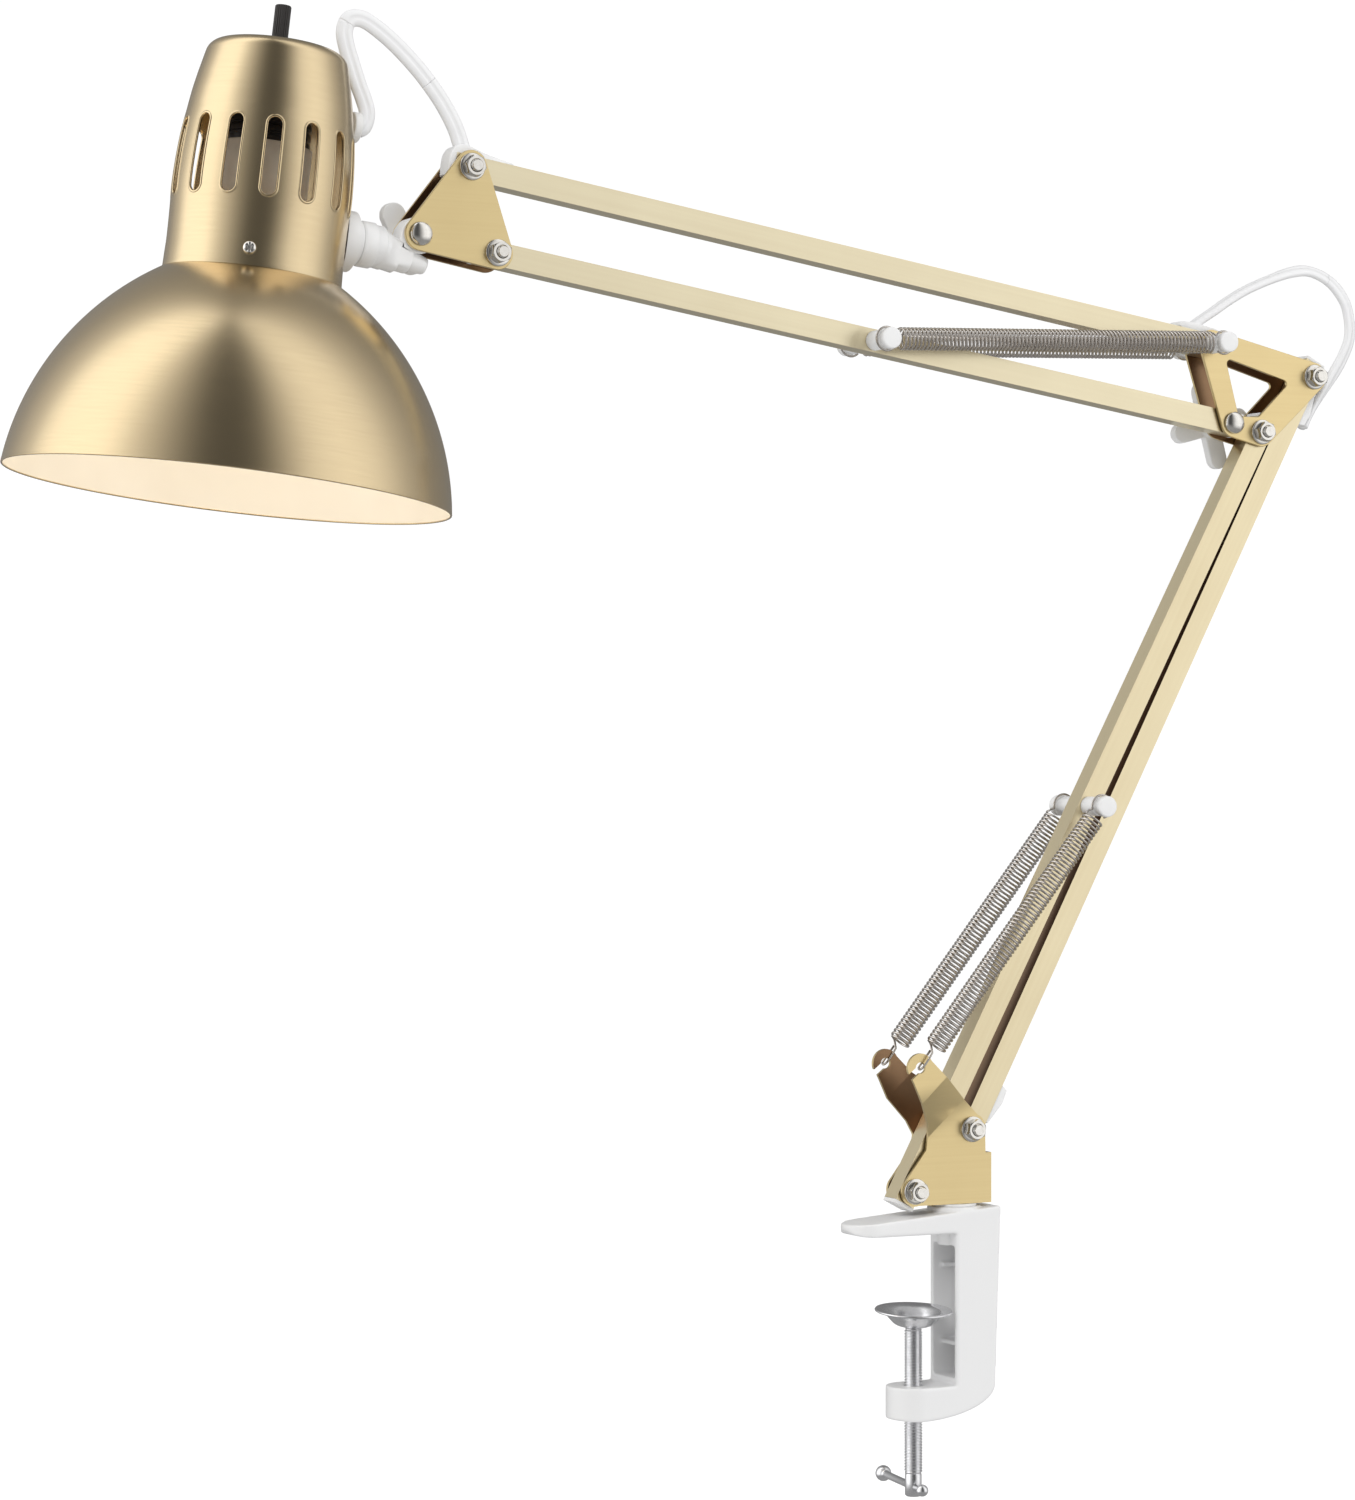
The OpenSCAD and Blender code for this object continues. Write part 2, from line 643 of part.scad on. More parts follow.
// Shade: a spun dome whose side is one arc, hung under the cup by a turned-in collar
arc_from = asin((-arc_c[1] - 0.3) / arc_r);
arc_to = asin((-shade_h - arc_c[1]) / arc_r);
arc_steps = 20;
function dome_arc(r) = [for (i = [0 : arc_steps])
  let (a = arc_from + (arc_to - arc_from) * i / arc_steps)
    arc_c + r * [cos(a), sin(a)]];
function reversed(p) = [for (i = [len(p) - 1 : -1 : 0]) p[i]];
module shade() color(brass)
  in_head() rotate_extrude($fn = 96) polygon(concat(
    [[34.2, -0.3]], dome_arc(arc_r), reversed(dome_arc(arc_r - shade_wall)),
    [[33.4, -1.1], [33.4, 5], [34.2, 5]]
  ));

// Lampholder hanging from the cup's crown, its sleeve, and the bulb
sleeve_top = 53.7;
module lampholder() color(black)
  in_head() difference() {
    union() {
      translate([0, 0, sleeve_top + 0.1]) cylinder(h = 78 - sleeve_top, r = 17);
      translate([0, 0, 78]) cylinder(h = 8.4, r = 7);
      translate([0, 0, 8]) cylinder(h = sleeve_top - 7.88, r = 16);
    }
    translate([0, 0, -1]) cylinder(h = 42, r = 13.4);
  }
module holder_sleeve() color([0.72, 0.68, 0.62])
  in_head() difference() {
    translate([0, 0, 4]) cylinder(h = sleeve_top - 4, r = 18.2);
    cylinder(h = 60, r = 16.05);
  }
bulb_r = 30;
bulb_z = -34;
module bulb() color([0.98, 0.95, 0.88])
  in_head() rotate_extrude($fn = 64) polygon(concat(
    [[0, 36], [9, 36], [13, 34], [13, 7.6], [15, 3]],
    [for (a = [60 : -15 : -75]) [bulb_r * cos(a), bulb_z + bulb_r * sin(a)]],
    [[0, bulb_z - bulb_r]]
  ));

module switch_nut() color(steel)
  in_head() {
    difference() {
      union() {
        translate([0, 0, cup_h + 0.02]) cylinder(h = 3, r = 4.6);
        translate([0, 0, cup_h - 6]) cylinder(h = 8, r = 3.3);
      }
      translate([0, 0, cup_h - 8]) cylinder(h = 20, r = 1.6);
    }
  }
module switch_knob() color(black)
  in_head() {
    translate([0, 0, cup_h + 3.3]) cylinder(h = 14.2, r = 3.3);
    translate([0, 0, cup_h - 5]) cylinder(h = 9, r = 1.55);
  }

// Cord gland through the cup's side
module cord_gland() color(white)
  in_head() translate([cup_r - 3.2, 0, gland_z]) rotate([0, 90, 0]) difference() {
    union() {
      translate([0, 0, 1.4]) cylinder(h = 3.6, r = 6.2);
      translate([0, 0, -2]) cylinder(h = 4, r = 3.5);
    }
    translate([0, 0, -4]) cylinder(h = 20, r = 2);
  }

// ---- Cords ----
cord_sides = 8;

// A flat cord swept along a route that lies in the middle plane
function cord_ring(route, i) =
  let (
    n = len(route),
    d = route[min(i + 1, n - 1)] - route[max(i - 1, 0)],
    u = d / norm(d),
    side = [u[2], 0, -u[0]]
  )
  [for (k = [0 : cord_sides - 1])
    let (a = (k + 0.5) * 360 / cord_sides)
      route[i] + cord_t / 2 / cos(22.5) * cos(a) * side
        + [0, cord_w / 2 / cos(22.5) * sin(a), 0]];
module cord_tube(route) {
  n = len(route);
  polyhedron(
    points = [for (i = [0 : n - 1]) each cord_ring(route, i)],
    faces = concat(
      [[for (k = [0 : cord_sides - 1]) k]],
      [[for (k = [cord_sides - 1 : -1 : 0]) (n - 1) * cord_sides + k]],
      [for (i = [0 : n - 2]) for (k = [0 : cord_sides - 1])
        [i * cord_sides + k, (i + 1) * cord_sides + k,
         (i + 1) * cord_sides + (k + 1) % cord_sides, i * cord_sides + (k + 1) % cord_sides]]
    )
  );
}
module head_cord() color(white) cord_tube(head_route);
module elbow_cord() color(white) cord_tube(elbow_route);

// Leads inside the tubes, straight from one guide to the other
module tube_lead(a, b) {
  d = (b - a) / norm(b - a);
  at(a) along(d) translate([-cord_t / 2, -cord_w / 2, 0]) cube([cord_t, cord_w, norm(b - a)]);
}
module upper_lead() color(white)
  tube_lead(head_top - 15 * upper_dir, elbow_top + 14 * upper_dir);
module lower_lead() color(white)
  tube_lead(base_rear + 15 * lower_dir, elbow_rear - 14 * lower_dir);

clamp_body();
swivel_bush();
pad_spigot();
pressure_pad();
clamp_screw();
tommy_bar();
base_bracket();
swivel_pin();
base_bolts();
base_nuts();
base_washers();
base_spacers();
lower_front_tube();
lower_front_plugs();
lower_spring_posts();
lower_spring_near();
lower_spring_far();
lower_rear_tube();
lower_rear_plugs();
lower_cord_guides();
lower_lead();
elbow_plate_near();
elbow_plate_far();
elbow_bolts();
elbow_nuts();
elbow_washers();
elbow_spacers();
elbow_spring_posts();
elbow_knob();
upper_top_tube();
upper_top_plugs();
upper_cord_guides();
upper_lead();
elbow_cord();
upper_bottom_tube();
upper_bottom_plugs();
upper_spring_posts();
upper_spring_near();
upper_spring_far();
head_plate_near();
head_plate_far();
head_bolts();
head_nuts();
head_washers();
head_spacers();
head_knob();
knuckle();
swivel_flange();
socket_cup();
cup_screws();
shade();
lampholder();
holder_sleeve();
bulb();
switch_nut();
switch_knob();
cord_gland();
head_cord();
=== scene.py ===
import math

import bmesh
import bpy
import numpy as np
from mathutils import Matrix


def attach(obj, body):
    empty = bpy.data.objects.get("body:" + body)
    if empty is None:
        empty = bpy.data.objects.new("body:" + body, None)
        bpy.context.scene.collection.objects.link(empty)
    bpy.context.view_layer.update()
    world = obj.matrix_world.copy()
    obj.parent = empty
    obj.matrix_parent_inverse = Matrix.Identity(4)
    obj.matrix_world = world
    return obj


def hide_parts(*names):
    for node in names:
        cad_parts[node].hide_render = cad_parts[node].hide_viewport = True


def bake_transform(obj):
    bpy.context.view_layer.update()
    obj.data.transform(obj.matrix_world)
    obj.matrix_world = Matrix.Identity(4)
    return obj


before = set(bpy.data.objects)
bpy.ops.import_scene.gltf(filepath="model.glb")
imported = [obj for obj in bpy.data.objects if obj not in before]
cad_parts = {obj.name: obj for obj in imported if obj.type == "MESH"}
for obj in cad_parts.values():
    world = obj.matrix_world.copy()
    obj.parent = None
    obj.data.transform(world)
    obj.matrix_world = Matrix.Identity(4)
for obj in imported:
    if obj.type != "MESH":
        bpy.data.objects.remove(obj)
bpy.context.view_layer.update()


def added(name, data):
    """A new object in the scene."""
    thing = bpy.data.objects.new(name, data)
    bpy.context.collection.objects.link(thing)
    return thing


# ---- Camera and studio ----
# A level camera with a long lens stands on the lamp's near side. A pale round floor curves up into
# its own backdrop. The sky holds the studio: a broad white panel on the left, a dark flag behind
# the camera and a softer panel on the right, which the metal mirrors as upright bands.
view_x, view_y = 0.4433, 0.8964
camera_data = bpy.data.cameras.new("camera")
camera_data.sensor_width = 36.0
camera_data.lens = 102.65
camera_data.clip_end = 50.0
camera = added("camera", camera_data)
camera.location = (-0.91205, -1.6140, 0.2111)
camera.rotation_euler = (math.radians(89.93), 0, -math.atan2(view_x, view_y))
bpy.context.scene.camera = camera
bpy.context.scene.view_settings.view_transform = "Standard"


class Socket:
    """One shader value: arithmetic on it adds Math nodes to its tree."""

    def __init__(self, tree, out):
        self.tree, self.out = tree, out

    def node(self, kind, settings=(), **sockets):
        """Adds a node of a kind, sets its settings, then its sockets' values or links."""
        n = self.tree.nodes.new(kind)
        for key, value in dict(settings).items():
            if key == "stops":
                while len(n.color_ramp.elements) < len(value):
                    n.color_ramp.elements.new(0.5)
                for e, (place, colour) in zip(n.color_ramp.elements, value):
                    e.position = place
                    e.color = (*colour, 1) if hasattr(colour, "__len__") else (colour,) * 3 + (1,)
            else:
                setattr(n, key, value)
        for key, value in sockets.items():
            place = key.replace("_", " ")
            place = int(key[2:]) if key.startswith("in") and key[2:].isdigit() else place
            if isinstance(value, Socket):
                self.tree.links.new(value.out, n.inputs[place])
            else:
                n.inputs[place].default_value = value
        return n

    def of(self, n, output=0):
        return Socket(self.tree, n.outputs[output])

    def math(self, operation, a, b=0.0, c=0.0):
        n = self.node("ShaderNodeMath", {"operation": operation}, in0=a, in1=b, in2=c)
        return self.of(n)

    def __add__(self, o): return self.math("ADD", self, o)
    def __radd__(self, o): return self.math("ADD", o, self)
    def __sub__(self, o): return self.math("SUBTRACT", self, o)
    def __rsub__(self, o): return self.math("SUBTRACT", o, self)
    def __mul__(self, o): return self.math("MULTIPLY", self, o)
    def __rmul__(self, o): return self.math("MULTIPLY", o, self)
    def __truediv__(self, o): return self.math("DIVIDE", self, o)
    def clamp(self): return self.math("MINIMUM", self.math("MAXIMUM", self, 0.0), 1.0)

    def mix(self, a, b):
        """Colour a where this value is 0, colour b where it is 1."""
        n = self.node("ShaderNodeMix", {"data_type": "RGBA"}, in0=self)
        for i, v in ((6, a), (7, b)):
            if isinstance(v, Socket):
                self.tree.links.new(v.out, n.inputs[i])
            else:
                n.inputs[i].default_value = (*v, 1)
        return self.of(n, 2)


def feed(shader, **values):
    """Sets the shader's sockets to plain values, or links them to worked-out ones."""
    for key, value in values.items():
        socket = shader.inputs[key.replace("_", " ")]
        if isinstance(value, Socket):
            value.tree.links.new(value.out, socket)
        else:
            socket.default_value = value


world = bpy.data.worlds.new("studio")
bpy.context.scene.world = world
world.use_nodes = True
world.node_tree.nodes.clear()
sky = Socket(world.node_tree, None)
toward = sky.of(sky.node("ShaderNodeTexCoord"), "Generated")


def along_axis(vector, axis):
    """Dot product of a shader vector with a fixed axis."""
    n = vector.node("ShaderNodeVectorMath", {"operation": "DOT_PRODUCT"}, in0=vector, in1=axis)
    return vector.of(n, "Value")


side = along_axis(toward, (view_y, -view_x, 0))
front = along_axis(toward, (-view_x, -view_y, 0))
height = along_axis(toward, (0, 0, 1))
bearing = sky.math("ARCTAN2", side, front) / (2 * math.pi) + 0.5
panels = [  # bearing in degrees, brightness
    (-180, 0.18), (-140, 0.34), (-118, 0.66), (-102, 1.48), (-62, 1.52), (-44, 0.85),
    (-28, 0.46), (-14, 0.20), (-4, 0.09), (14, 0.07), (26, 0.13), (40, 0.54), (52, 0.98),
    (72, 1.15), (90, 1.00), (110, 0.56), (134, 0.28), (180, 0.18),
]
band = sky.of(sky.node(
    "ShaderNodeValToRGB",
    {"stops": [((a + 180) / 360, v) for a, v in panels]},
    in0=bearing,
))
lower = ((-0.12 - height) * 3.0).clamp()
mirror = band * (1 - lower) + lower * 0.30
paths = sky.node("ShaderNodeLightPath")
glossy = sky.of(paths, "Is Glossy Ray")
seen = sky.of(paths, "Is Camera Ray")
plain = seen.mix((0.80, 0.80, 0.80), (1.0, 1.0, 1.0))
tone = glossy.mix(plain, mirror)
sky.tree.links.new(
    sky.of(sky.node("ShaderNodeBackground", in0=tone)).out,
    sky.node("ShaderNodeOutputWorld").inputs["Surface"],
)

for name, place, size, power in (
    ("key", (-1.6, -1.9, 2.3), 1.6, 30.0),
    ("fill", (1.9, -1.2, 1.2), 1.4, 10.0),
):
    lamp = bpy.data.lights.new(name, "AREA")
    lamp.shape, lamp.size, lamp.energy = "DISK", size, power
    holder = added(name, lamp)
    holder.location = place
    aim = np.array([-0.05, 0.0, 0.2]) - np.array(place)
    holder.rotation_euler = (math.pi - math.acos(aim[2] / np.linalg.norm(aim)), 0,
                             math.atan2(aim[1], aim[0]) - math.pi / 2)
    holder.visible_glossy = False


def surface(name, *parts):
    """Mesh from point grids. A part is a grid P[i, j], or a grid with its material's number.

    Each grid gives the quads P[i, j], P[i+1, j], P[i+1, j+1], P[i, j+1]. Equal points are then
    merged, which closes seams and poles, and the faces are turned outwards.
    """
    points, faces, kinds, start = [], [], [], 0
    for part in parts:
        grid, kind = part if isinstance(part, tuple) else (part, 0)
        grid = np.asarray(grid, float)
        rows, columns = grid.shape[:2]
        k = start + np.arange(rows * columns).reshape(rows, columns)
        quads = np.stack([k[:-1, :-1], k[1:, :-1], k[1:, 1:], k[:-1, 1:]], -1).reshape(-1, 4)
        points.append(grid.reshape(-1, 3))
        faces.append(quads)
        kinds.append(np.full(len(quads), kind))
        start += rows * columns
    mesh = bpy.data.meshes.new(name)
    mesh.from_pydata(np.concatenate(points).tolist(), [], np.concatenate(faces).tolist())
    mesh.polygons.foreach_set("material_index", np.concatenate(kinds).astype(np.int32))
    b = bmesh.new()
    b.from_mesh(mesh)
    bmesh.ops.remove_doubles(b, verts=b.verts, dist=2e-6)
    bmesh.ops.dissolve_degenerate(b, edges=b.edges, dist=1e-7)
    bmesh.ops.recalc_face_normals(b, faces=b.faces)
    b.to_mesh(mesh)
    b.free()
    mesh.shade_smooth()
    return added(name, mesh)


def polar(r, a, h):
    """Points (r cos a, r sin a, h)."""
    return np.stack([r * np.cos(a), r * np.sin(a), h + 0 * a], -1)


def turned(profile, turns=48):
    """Profile points (r, h) carried round Z: (r cos a, r sin a, h) for a from 0 to a full turn."""
    profile = np.asarray(profile, float)
    a = np.linspace(0, 2 * np.pi, turns + 1)
    return polar(profile[:, :1], a, profile[:, 1:])


floor_z, floor_flat, floor_bend, floor_top = -0.19, 6.0, 2.0, 9.0
floor_profile = [(0.0, floor_z), (floor_flat, floor_z)] + [
    (floor_flat + floor_bend * math.sin(t), floor_z + floor_bend * (1 - math.cos(t)))
    for t in np.linspace(0.1, math.pi / 2, 16)
] + [(floor_flat + floor_bend, floor_top)]
floor = surface("floor", turned(floor_profile, 96))
floor_paint = bpy.data.materials.new("floor")
floor_paint.use_nodes = True
feed(floor_paint.node_tree.nodes["Principled BSDF"], Base_Color=(0.62, 0.62, 0.62, 1),
     Roughness=0.9, Emission_Color=(1, 1, 1, 1), Emission_Strength=0.52)
floor.data.materials.append(floor_paint)
floor.visible_glossy = False
floor.visible_diffuse = False
floor.visible_shadow = False

# ---- Cords ----
# White flat twin flex, two copper cores side by side in soft glossy vinyl, with a groove where
# they part. It runs inside the square tubes and comes out in two free loops: from the top tube
# into the lamp cup's gland, and round the elbow into the rear tube's guide.


def finish_of(name, colour, rough, metal=0.0):
    """A material, its shader, and the place in the object as a shader value."""
    m = bpy.data.materials.new(name)
    m.use_nodes = True
    shader = m.node_tree.nodes["Principled BSDF"]
    feed(shader, Base_Color=(*colour, 1), Roughness=rough, Metallic=metal)
    tree = Socket(m.node_tree, None)
    return m, shader, tree.of(tree.node("ShaderNodeTexCoord"), "Object")


def noise(place, scale, detail=2.0, stretch=(1, 1, 1), turn=(0, 0, 0), move=(0, 0, 0)):
    """Noise from 0 to 1 on a place, which is moved, turned and stretched first."""
    n = place.node("ShaderNodeMapping", {"vector_type": "TEXTURE"}, Vector=place, Location=move,
                   Rotation=turn)
    m = place.node("ShaderNodeMapping", Vector=place.of(n), Scale=stretch)
    t = place.node("ShaderNodeTexNoise", Vector=place.of(m), Scale=scale, Detail=detail)
    return place.of(t)


def bumped(height, strength, distance):
    """Normal tilted by a height."""
    return height.of(height.node("ShaderNodeBump", Strength=strength, Distance=distance,
                                 Height=height))


vinyl, shader, place = finish_of("white_vinyl", (0.80, 0.80, 0.81), 0.30)
mottle = noise(place, 240.0, 3.0)
feed(shader,
     Base_Color=(mottle * 0.5).mix((0.84, 0.84, 0.84), (0.76, 0.76, 0.78)),
     Roughness=0.26 + mottle * 0.10,
     Normal=bumped(noise(place, 900.0), 0.10, 0.0002),
     Subsurface_Weight=0.15, Subsurface_Radius=(0.002, 0.002, 0.002), Coat_Weight=0.2)

cord_wide, cord_thick = 0.0072, 0.0036


def smooth_path(points, count):
    """Centripetal Catmull-Rom curve through the points, resampled to equal steps."""
    p = np.asarray(points, float)
    p = np.vstack([2 * p[0] - p[1], p, 2 * p[-1] - p[-2]])
    t = np.linspace(0, 1, 24, endpoint=False)[:, None]
    a, b, c, d = p[:-3, None], p[1:-2, None], p[2:-1, None], p[3:, None]
    q = 0.5 * (2 * b + (c - a) * t + (2 * a - 5 * b + 4 * c - d) * t**2
               + (3 * b - a - 3 * c + d) * t**3)
    q = np.vstack([q.reshape(-1, 3), p[-2:-1]])
    run = np.concatenate([[0], np.cumsum(np.linalg.norm(np.diff(q, axis=0), axis=1))])
    s = np.linspace(0, run[-1], count)
    return np.stack([np.interp(s, run, q[:, k]) for k in range(3)], 1)


def carried(path, section, across, closed_ends=True):
    """Section (a, b) carried along a path: P = path + a n + b (t x n).

    t is the path's tangent and n is the vector `across` made square to it.
    """
    t = np.gradient(path, axis=0)
    t /= np.linalg.norm(t, axis=1)[:, None]
    n = np.broadcast_to(across, path.shape)
    n = n - (n * t).sum(1)[:, None] * t
    n /= np.linalg.norm(n, axis=1)[:, None]
    m = np.cross(t, n)
    s = np.asarray(section, float)
    s = s if s.ndim == 3 else np.broadcast_to(s, (len(path), *s.shape))
    grid = path[:, None] + s[..., :1] * n[:, None] + s[..., 1:] * m[:, None]
    if closed_ends:
        grid = np.concatenate([path[:1, None] + 0 * grid[:1], grid,
                               path[-1:, None] + 0 * grid[-1:]])
    return grid


def flex_section(sides=40):
    """Outline of the flat twin: a superellipse whose thickness dips to a groove at its middle."""
    a = np.linspace(0, 2 * np.pi, sides + 1)
    x = np.sign(np.cos(a)) * np.abs(np.cos(a)) ** 0.85
    y = np.sign(np.sin(a)) * np.abs(np.sin(a)) ** 0.85
    dip = 1 - 0.30 * np.exp(-((x / 0.16) ** 2))
    return np.stack([cord_wide / 2 * x, cord_thick / 2 * y * dip], 1)


def flex_loop(name, route, in_plane, cuts):
    """A loop of flex in pieces, cut at shares of its length: each piece and the path it follows.

    The flat side's direction is Y turned towards the route's own plane by the share in_plane.
    """
    steps = 240
    path = smooth_path(np.asarray(route) / 1000.0, steps + 1)
    where = np.linspace(0, 1, len(path))
    t = np.gradient(path, axis=0)
    flat = np.stack([-t[:, 2], 0 * where, t[:, 0]], 1)
    flat /= np.linalg.norm(flat, axis=1)[:, None]
    turn = np.interp(where, *zip(*in_plane))[:, None] * np.pi / 2
    across = np.cos(turn) * np.array([0.0, 1.0, 0.0]) + np.sin(turn) * flat
    grid = carried(path, flex_section(), across, False)
    pieces = []
    for k, (a, b) in enumerate(zip(cuts[:-1], cuts[1:])):
        i, j = round(a * steps), round(b * steps)
        part = grid[i : j + 1]
        part = np.concatenate([path[i, None, None] + 0 * part[:1], part,
                               path[j, None, None] + 0 * part[:1]])
        piece = surface(f"{name}_{k + 1}", part)
        piece.data.materials.append(vinyl)
        pieces.append((piece, path[i : j + 1]))
    return pieces


head_route = [
    (-202, 0, 446.0), (-208, 0, 447.6), (-211.4, 0, 451.5), (-213, 0, 457), (-216, 0, 465),
    (-222, 0, 475), (-231, 0, 486), (-241.5, 0, 496), (-251, 0, 503),
    (-257.5, 0, 506), (-262.5, 0, 505), (-264.5, 0, 500),
    (-263.5, 0, 494), (-261.5, 0, 488), (-258.8, 0, 480), (-256, 0, 473), (-254.6, 0, 467.5),
    (-255.8, 0, 462.6), (-258.4, 0, 460.8),
]
head_loop = flex_loop("head_cord", head_route, [(0, 0.85), (0.15, 1), (0.9, 1), (1, 0.8)],
                      (0, 0.335, 0.665, 1))
for (piece, path), (near, far) in zip(
    head_loop, (("upper_bar_top", "head_bracket"), ("head_bracket", "knuckle"), ("knuckle", "head"))
):
    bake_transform(piece)
    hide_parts("head_cord")

elbow_route = [
    (143, 0, 398.5), (149, 0, 402.3), (155, 0, 406), (162, 0, 410.5), (172, 0, 416), (184, 0, 421),
    (196, 0, 425), (206, 0, 426), (217, 0, 422), (225, 0, 414), (228, 0, 405), (228, 0, 396),
    (224, 0, 387), (218, 0, 378), (213, 0, 371), (206, 0, 361), (202.5, 0, 355),
]
elbow_loop = flex_loop("elbow_cord", elbow_route,
                       [(0, 0.05), (0.3, 0.15), (0.55, 0.7), (0.8, 0.7), (1, 0.1)], (0, 0.5, 1))
for (piece, path), (near, far) in zip(
    elbow_loop, (("upper_bar_top", "elbow"), ("elbow", "lower_bar_rear"))
):
    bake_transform(piece)
    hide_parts("elbow_cord")


def painted(node, paint):
    """A CAD node that keeps its own mesh, in a finish."""
    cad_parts[node].data.materials.clear()
    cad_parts[node].data.materials.append(paint)


# The leads inside the tubes are the same flex, pulled straight.
painted("upper_lead", vinyl)
painted("lower_lead", vinyl)

# ---- Desk clamp ----
# A zinc die casting in gloss white powder coat: a round-ended top jaw, a hollow column with two
# cast ribs, and a lower arm that carries the screw. A nylon bush in its seat takes the lamp's pin.
powder, shader, place = finish_of("white_powder_coat", (0.80, 0.80, 0.80), 0.34)
orange_peel = noise(place, 420.0, 3.0)
feed(shader,
     Base_Color=(noise(place, 30.0) * 0.6).mix((0.83, 0.83, 0.83), (0.77, 0.77, 0.775)),
     Roughness=0.28 + orange_peel * 0.14,
     Normal=bumped(orange_peel, 0.10, 0.0004), Coat_Weight=0.15, Coat_Roughness=0.15)


def rides(piece, body, slot_name, node, *paints):
    """Gives a piece its finishes and its body, and hides the CAD node it stands for; slot_name is
    not used.
    """
    for paint in paints:
        piece.data.materials.append(paint)
    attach(piece, body)
    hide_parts(node)
    return piece


def finished(piece, name, paint):
    """A new mesh piece from an object's modifiers, with sharp edges kept above 45 degrees."""
    seen_piece = piece.evaluated_get(bpy.context.evaluated_depsgraph_get())
    shape = bpy.data.meshes.new_from_object(seen_piece)
    bpy.data.objects.remove(piece)
    shape.name = name
    shape.materials.clear()
    shape.materials.append(paint)
    shape.polygons.foreach_set("material_index", np.zeros(len(shape.polygons), np.int32))
    shape.shade_smooth()
    shape.set_sharp_from_angle(angle=math.radians(45))
    whole = added(name, shape)
    whole.modifiers.new("flat_faces", "WEIGHTED_NORMAL").keep_sharp = True
    return whole


def merged_copy(node):
    """A CAD node's mesh with its equal points merged and its flat faces joined."""
    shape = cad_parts[node].data.copy()
    b = bmesh.new()
    b.from_mesh(shape)
    bmesh.ops.remove_doubles(b, verts=b.verts, dist=2e-6)
    bmesh.ops.dissolve_limit(b, angle_limit=math.radians(0.6), verts=b.verts, edges=b.edges)
    b.to_mesh(shape)
    b.free()
    return added("copy_" + node, shape)


def rounded(node, body, slot_name, paint, width, steps=3):
    """A CAD node with its sharp edges rounded to a width, in a finish."""
    piece = merged_copy(node)
    bevel = piece.modifiers.new("round", "BEVEL")
    bevel.width, bevel.segments = width, steps
    bevel.limit_method, bevel.angle_limit = "ANGLE", math.radians(32)
    return rides(finished(piece, "real_" + node, paint), body, slot_name, node)


def moulded(node, body, slot_name, paint, grain, passes):
    """A CAD node as one cast or moulded skin: remeshed at a grain, then relaxed by some passes."""
    piece = merged_copy(node)
    remesh = piece.modifiers.new("skin", "REMESH")
    remesh.mode, remesh.voxel_size = "VOXEL", grain
    relax = piece.modifiers.new("relax", "SMOOTH")
    relax.factor, relax.iterations = 0.5, passes
    piece = finished(piece, "real_" + node, paint)
    piece.data.set_sharp_from_angle(angle=math.radians(180))
    return rides(piece, body, slot_name, node)


moulded("clamp_body", "clamp", "white_paint", powder, 0.00055, 6)

nylon, shader, place = finish_of("white_nylon", (0.82, 0.82, 0.82), 0.32)
feed(shader,
     Base_Color=noise(place, 120.0).mix((0.85, 0.85, 0.845), (0.79, 0.79, 0.79)),
     Roughness=0.24 + noise(place, 500.0) * 0.16,
     Normal=bumped(noise(place, 700.0), 0.08, 0.0002),
     Subsurface_Weight=0.2, Subsurface_Radius=(0.003, 0.003, 0.003))
rounded("swivel_bush", "clamp", "white_plastic", nylon, 0.0003)


def placed(grid, origin, up=(0, 0, 1), out=None):
    """A grid moved from its own axes to an origin, with its Z along `up` and its X along `out`."""
    up = np.asarray(up, float) / np.linalg.norm(up)
    if out is None:
        out = (1, 0, 0) if abs(up[0]) < 0.9 else (0, 0, 1)
    out = np.asarray(out, float)
    out = out - (out @ up) * up
    out /= np.linalg.norm(out)
    return np.asarray(origin) + np.asarray(grid) @ np.stack([out, np.cross(up, out), up])


# The screw is M8 zinc-plated steel with a rolled thread and a plain end, where the tommy bar
# slides in its cross hole. A dished, pressed pad swivels on a rivet in the screw's tip.
zinc, shader, place = finish_of("zinc_plate", (0.62, 0.62, 0.63), 0.24, 1.0)
wear = noise(place, 300.0, 4.0)
feed(shader,
     Base_Color=wear.mix((0.94, 0.94, 0.95), (0.74, 0.74, 0.76)),
     Roughness=0.16 + wear * 0.16,
     Normal=bumped(noise(place, 1400.0), 0.06, 0.0001))


def threaded(radius, low, high, pitch, depth, steps=8, turns=36):
    """A thread: r = radius - depth |2 frac(z / pitch - a / 2 pi) - 1|, running out at both ends."""
    z = np.linspace(low, high, int((high - low) / pitch * steps) + 1)[:, None]
    a = np.linspace(0, 2 * np.pi, turns + 1)
    tooth = np.abs(2 * np.mod(z / pitch - a / (2 * np.pi), 1.0) - 1)
    tooth = np.clip(tooth * 1.25 - 0.12, 0, 1)
    fade = np.clip(np.minimum(z - low, high - z) / pitch, 0, 1)
    r = radius - depth * tooth - depth * 0.8 * (1 - fade) * (1 - tooth)
    grid = polar(r, a, z)
    ends = [grid[:1] * np.array([0, 0, 1.0]), grid[-1:] * np.array([0, 0, 1.0])]
    return np.concatenate([ends[0], grid, ends[1]])


screw = surface(
    "real_clamp_screw",
    threaded(0.0040, low=-0.1045, high=-0.0414, pitch=0.00125, depth=0.00066),
    turned([(0, -0.1140), (0.0030, -0.1140), (0.0036, -0.1134), (0.0036, -0.1046),
            (0.0032, -0.1038), (0, -0.1038)], 36),
)
rides(screw, "screw", "bolt_steel", "clamp_screw", zinc)

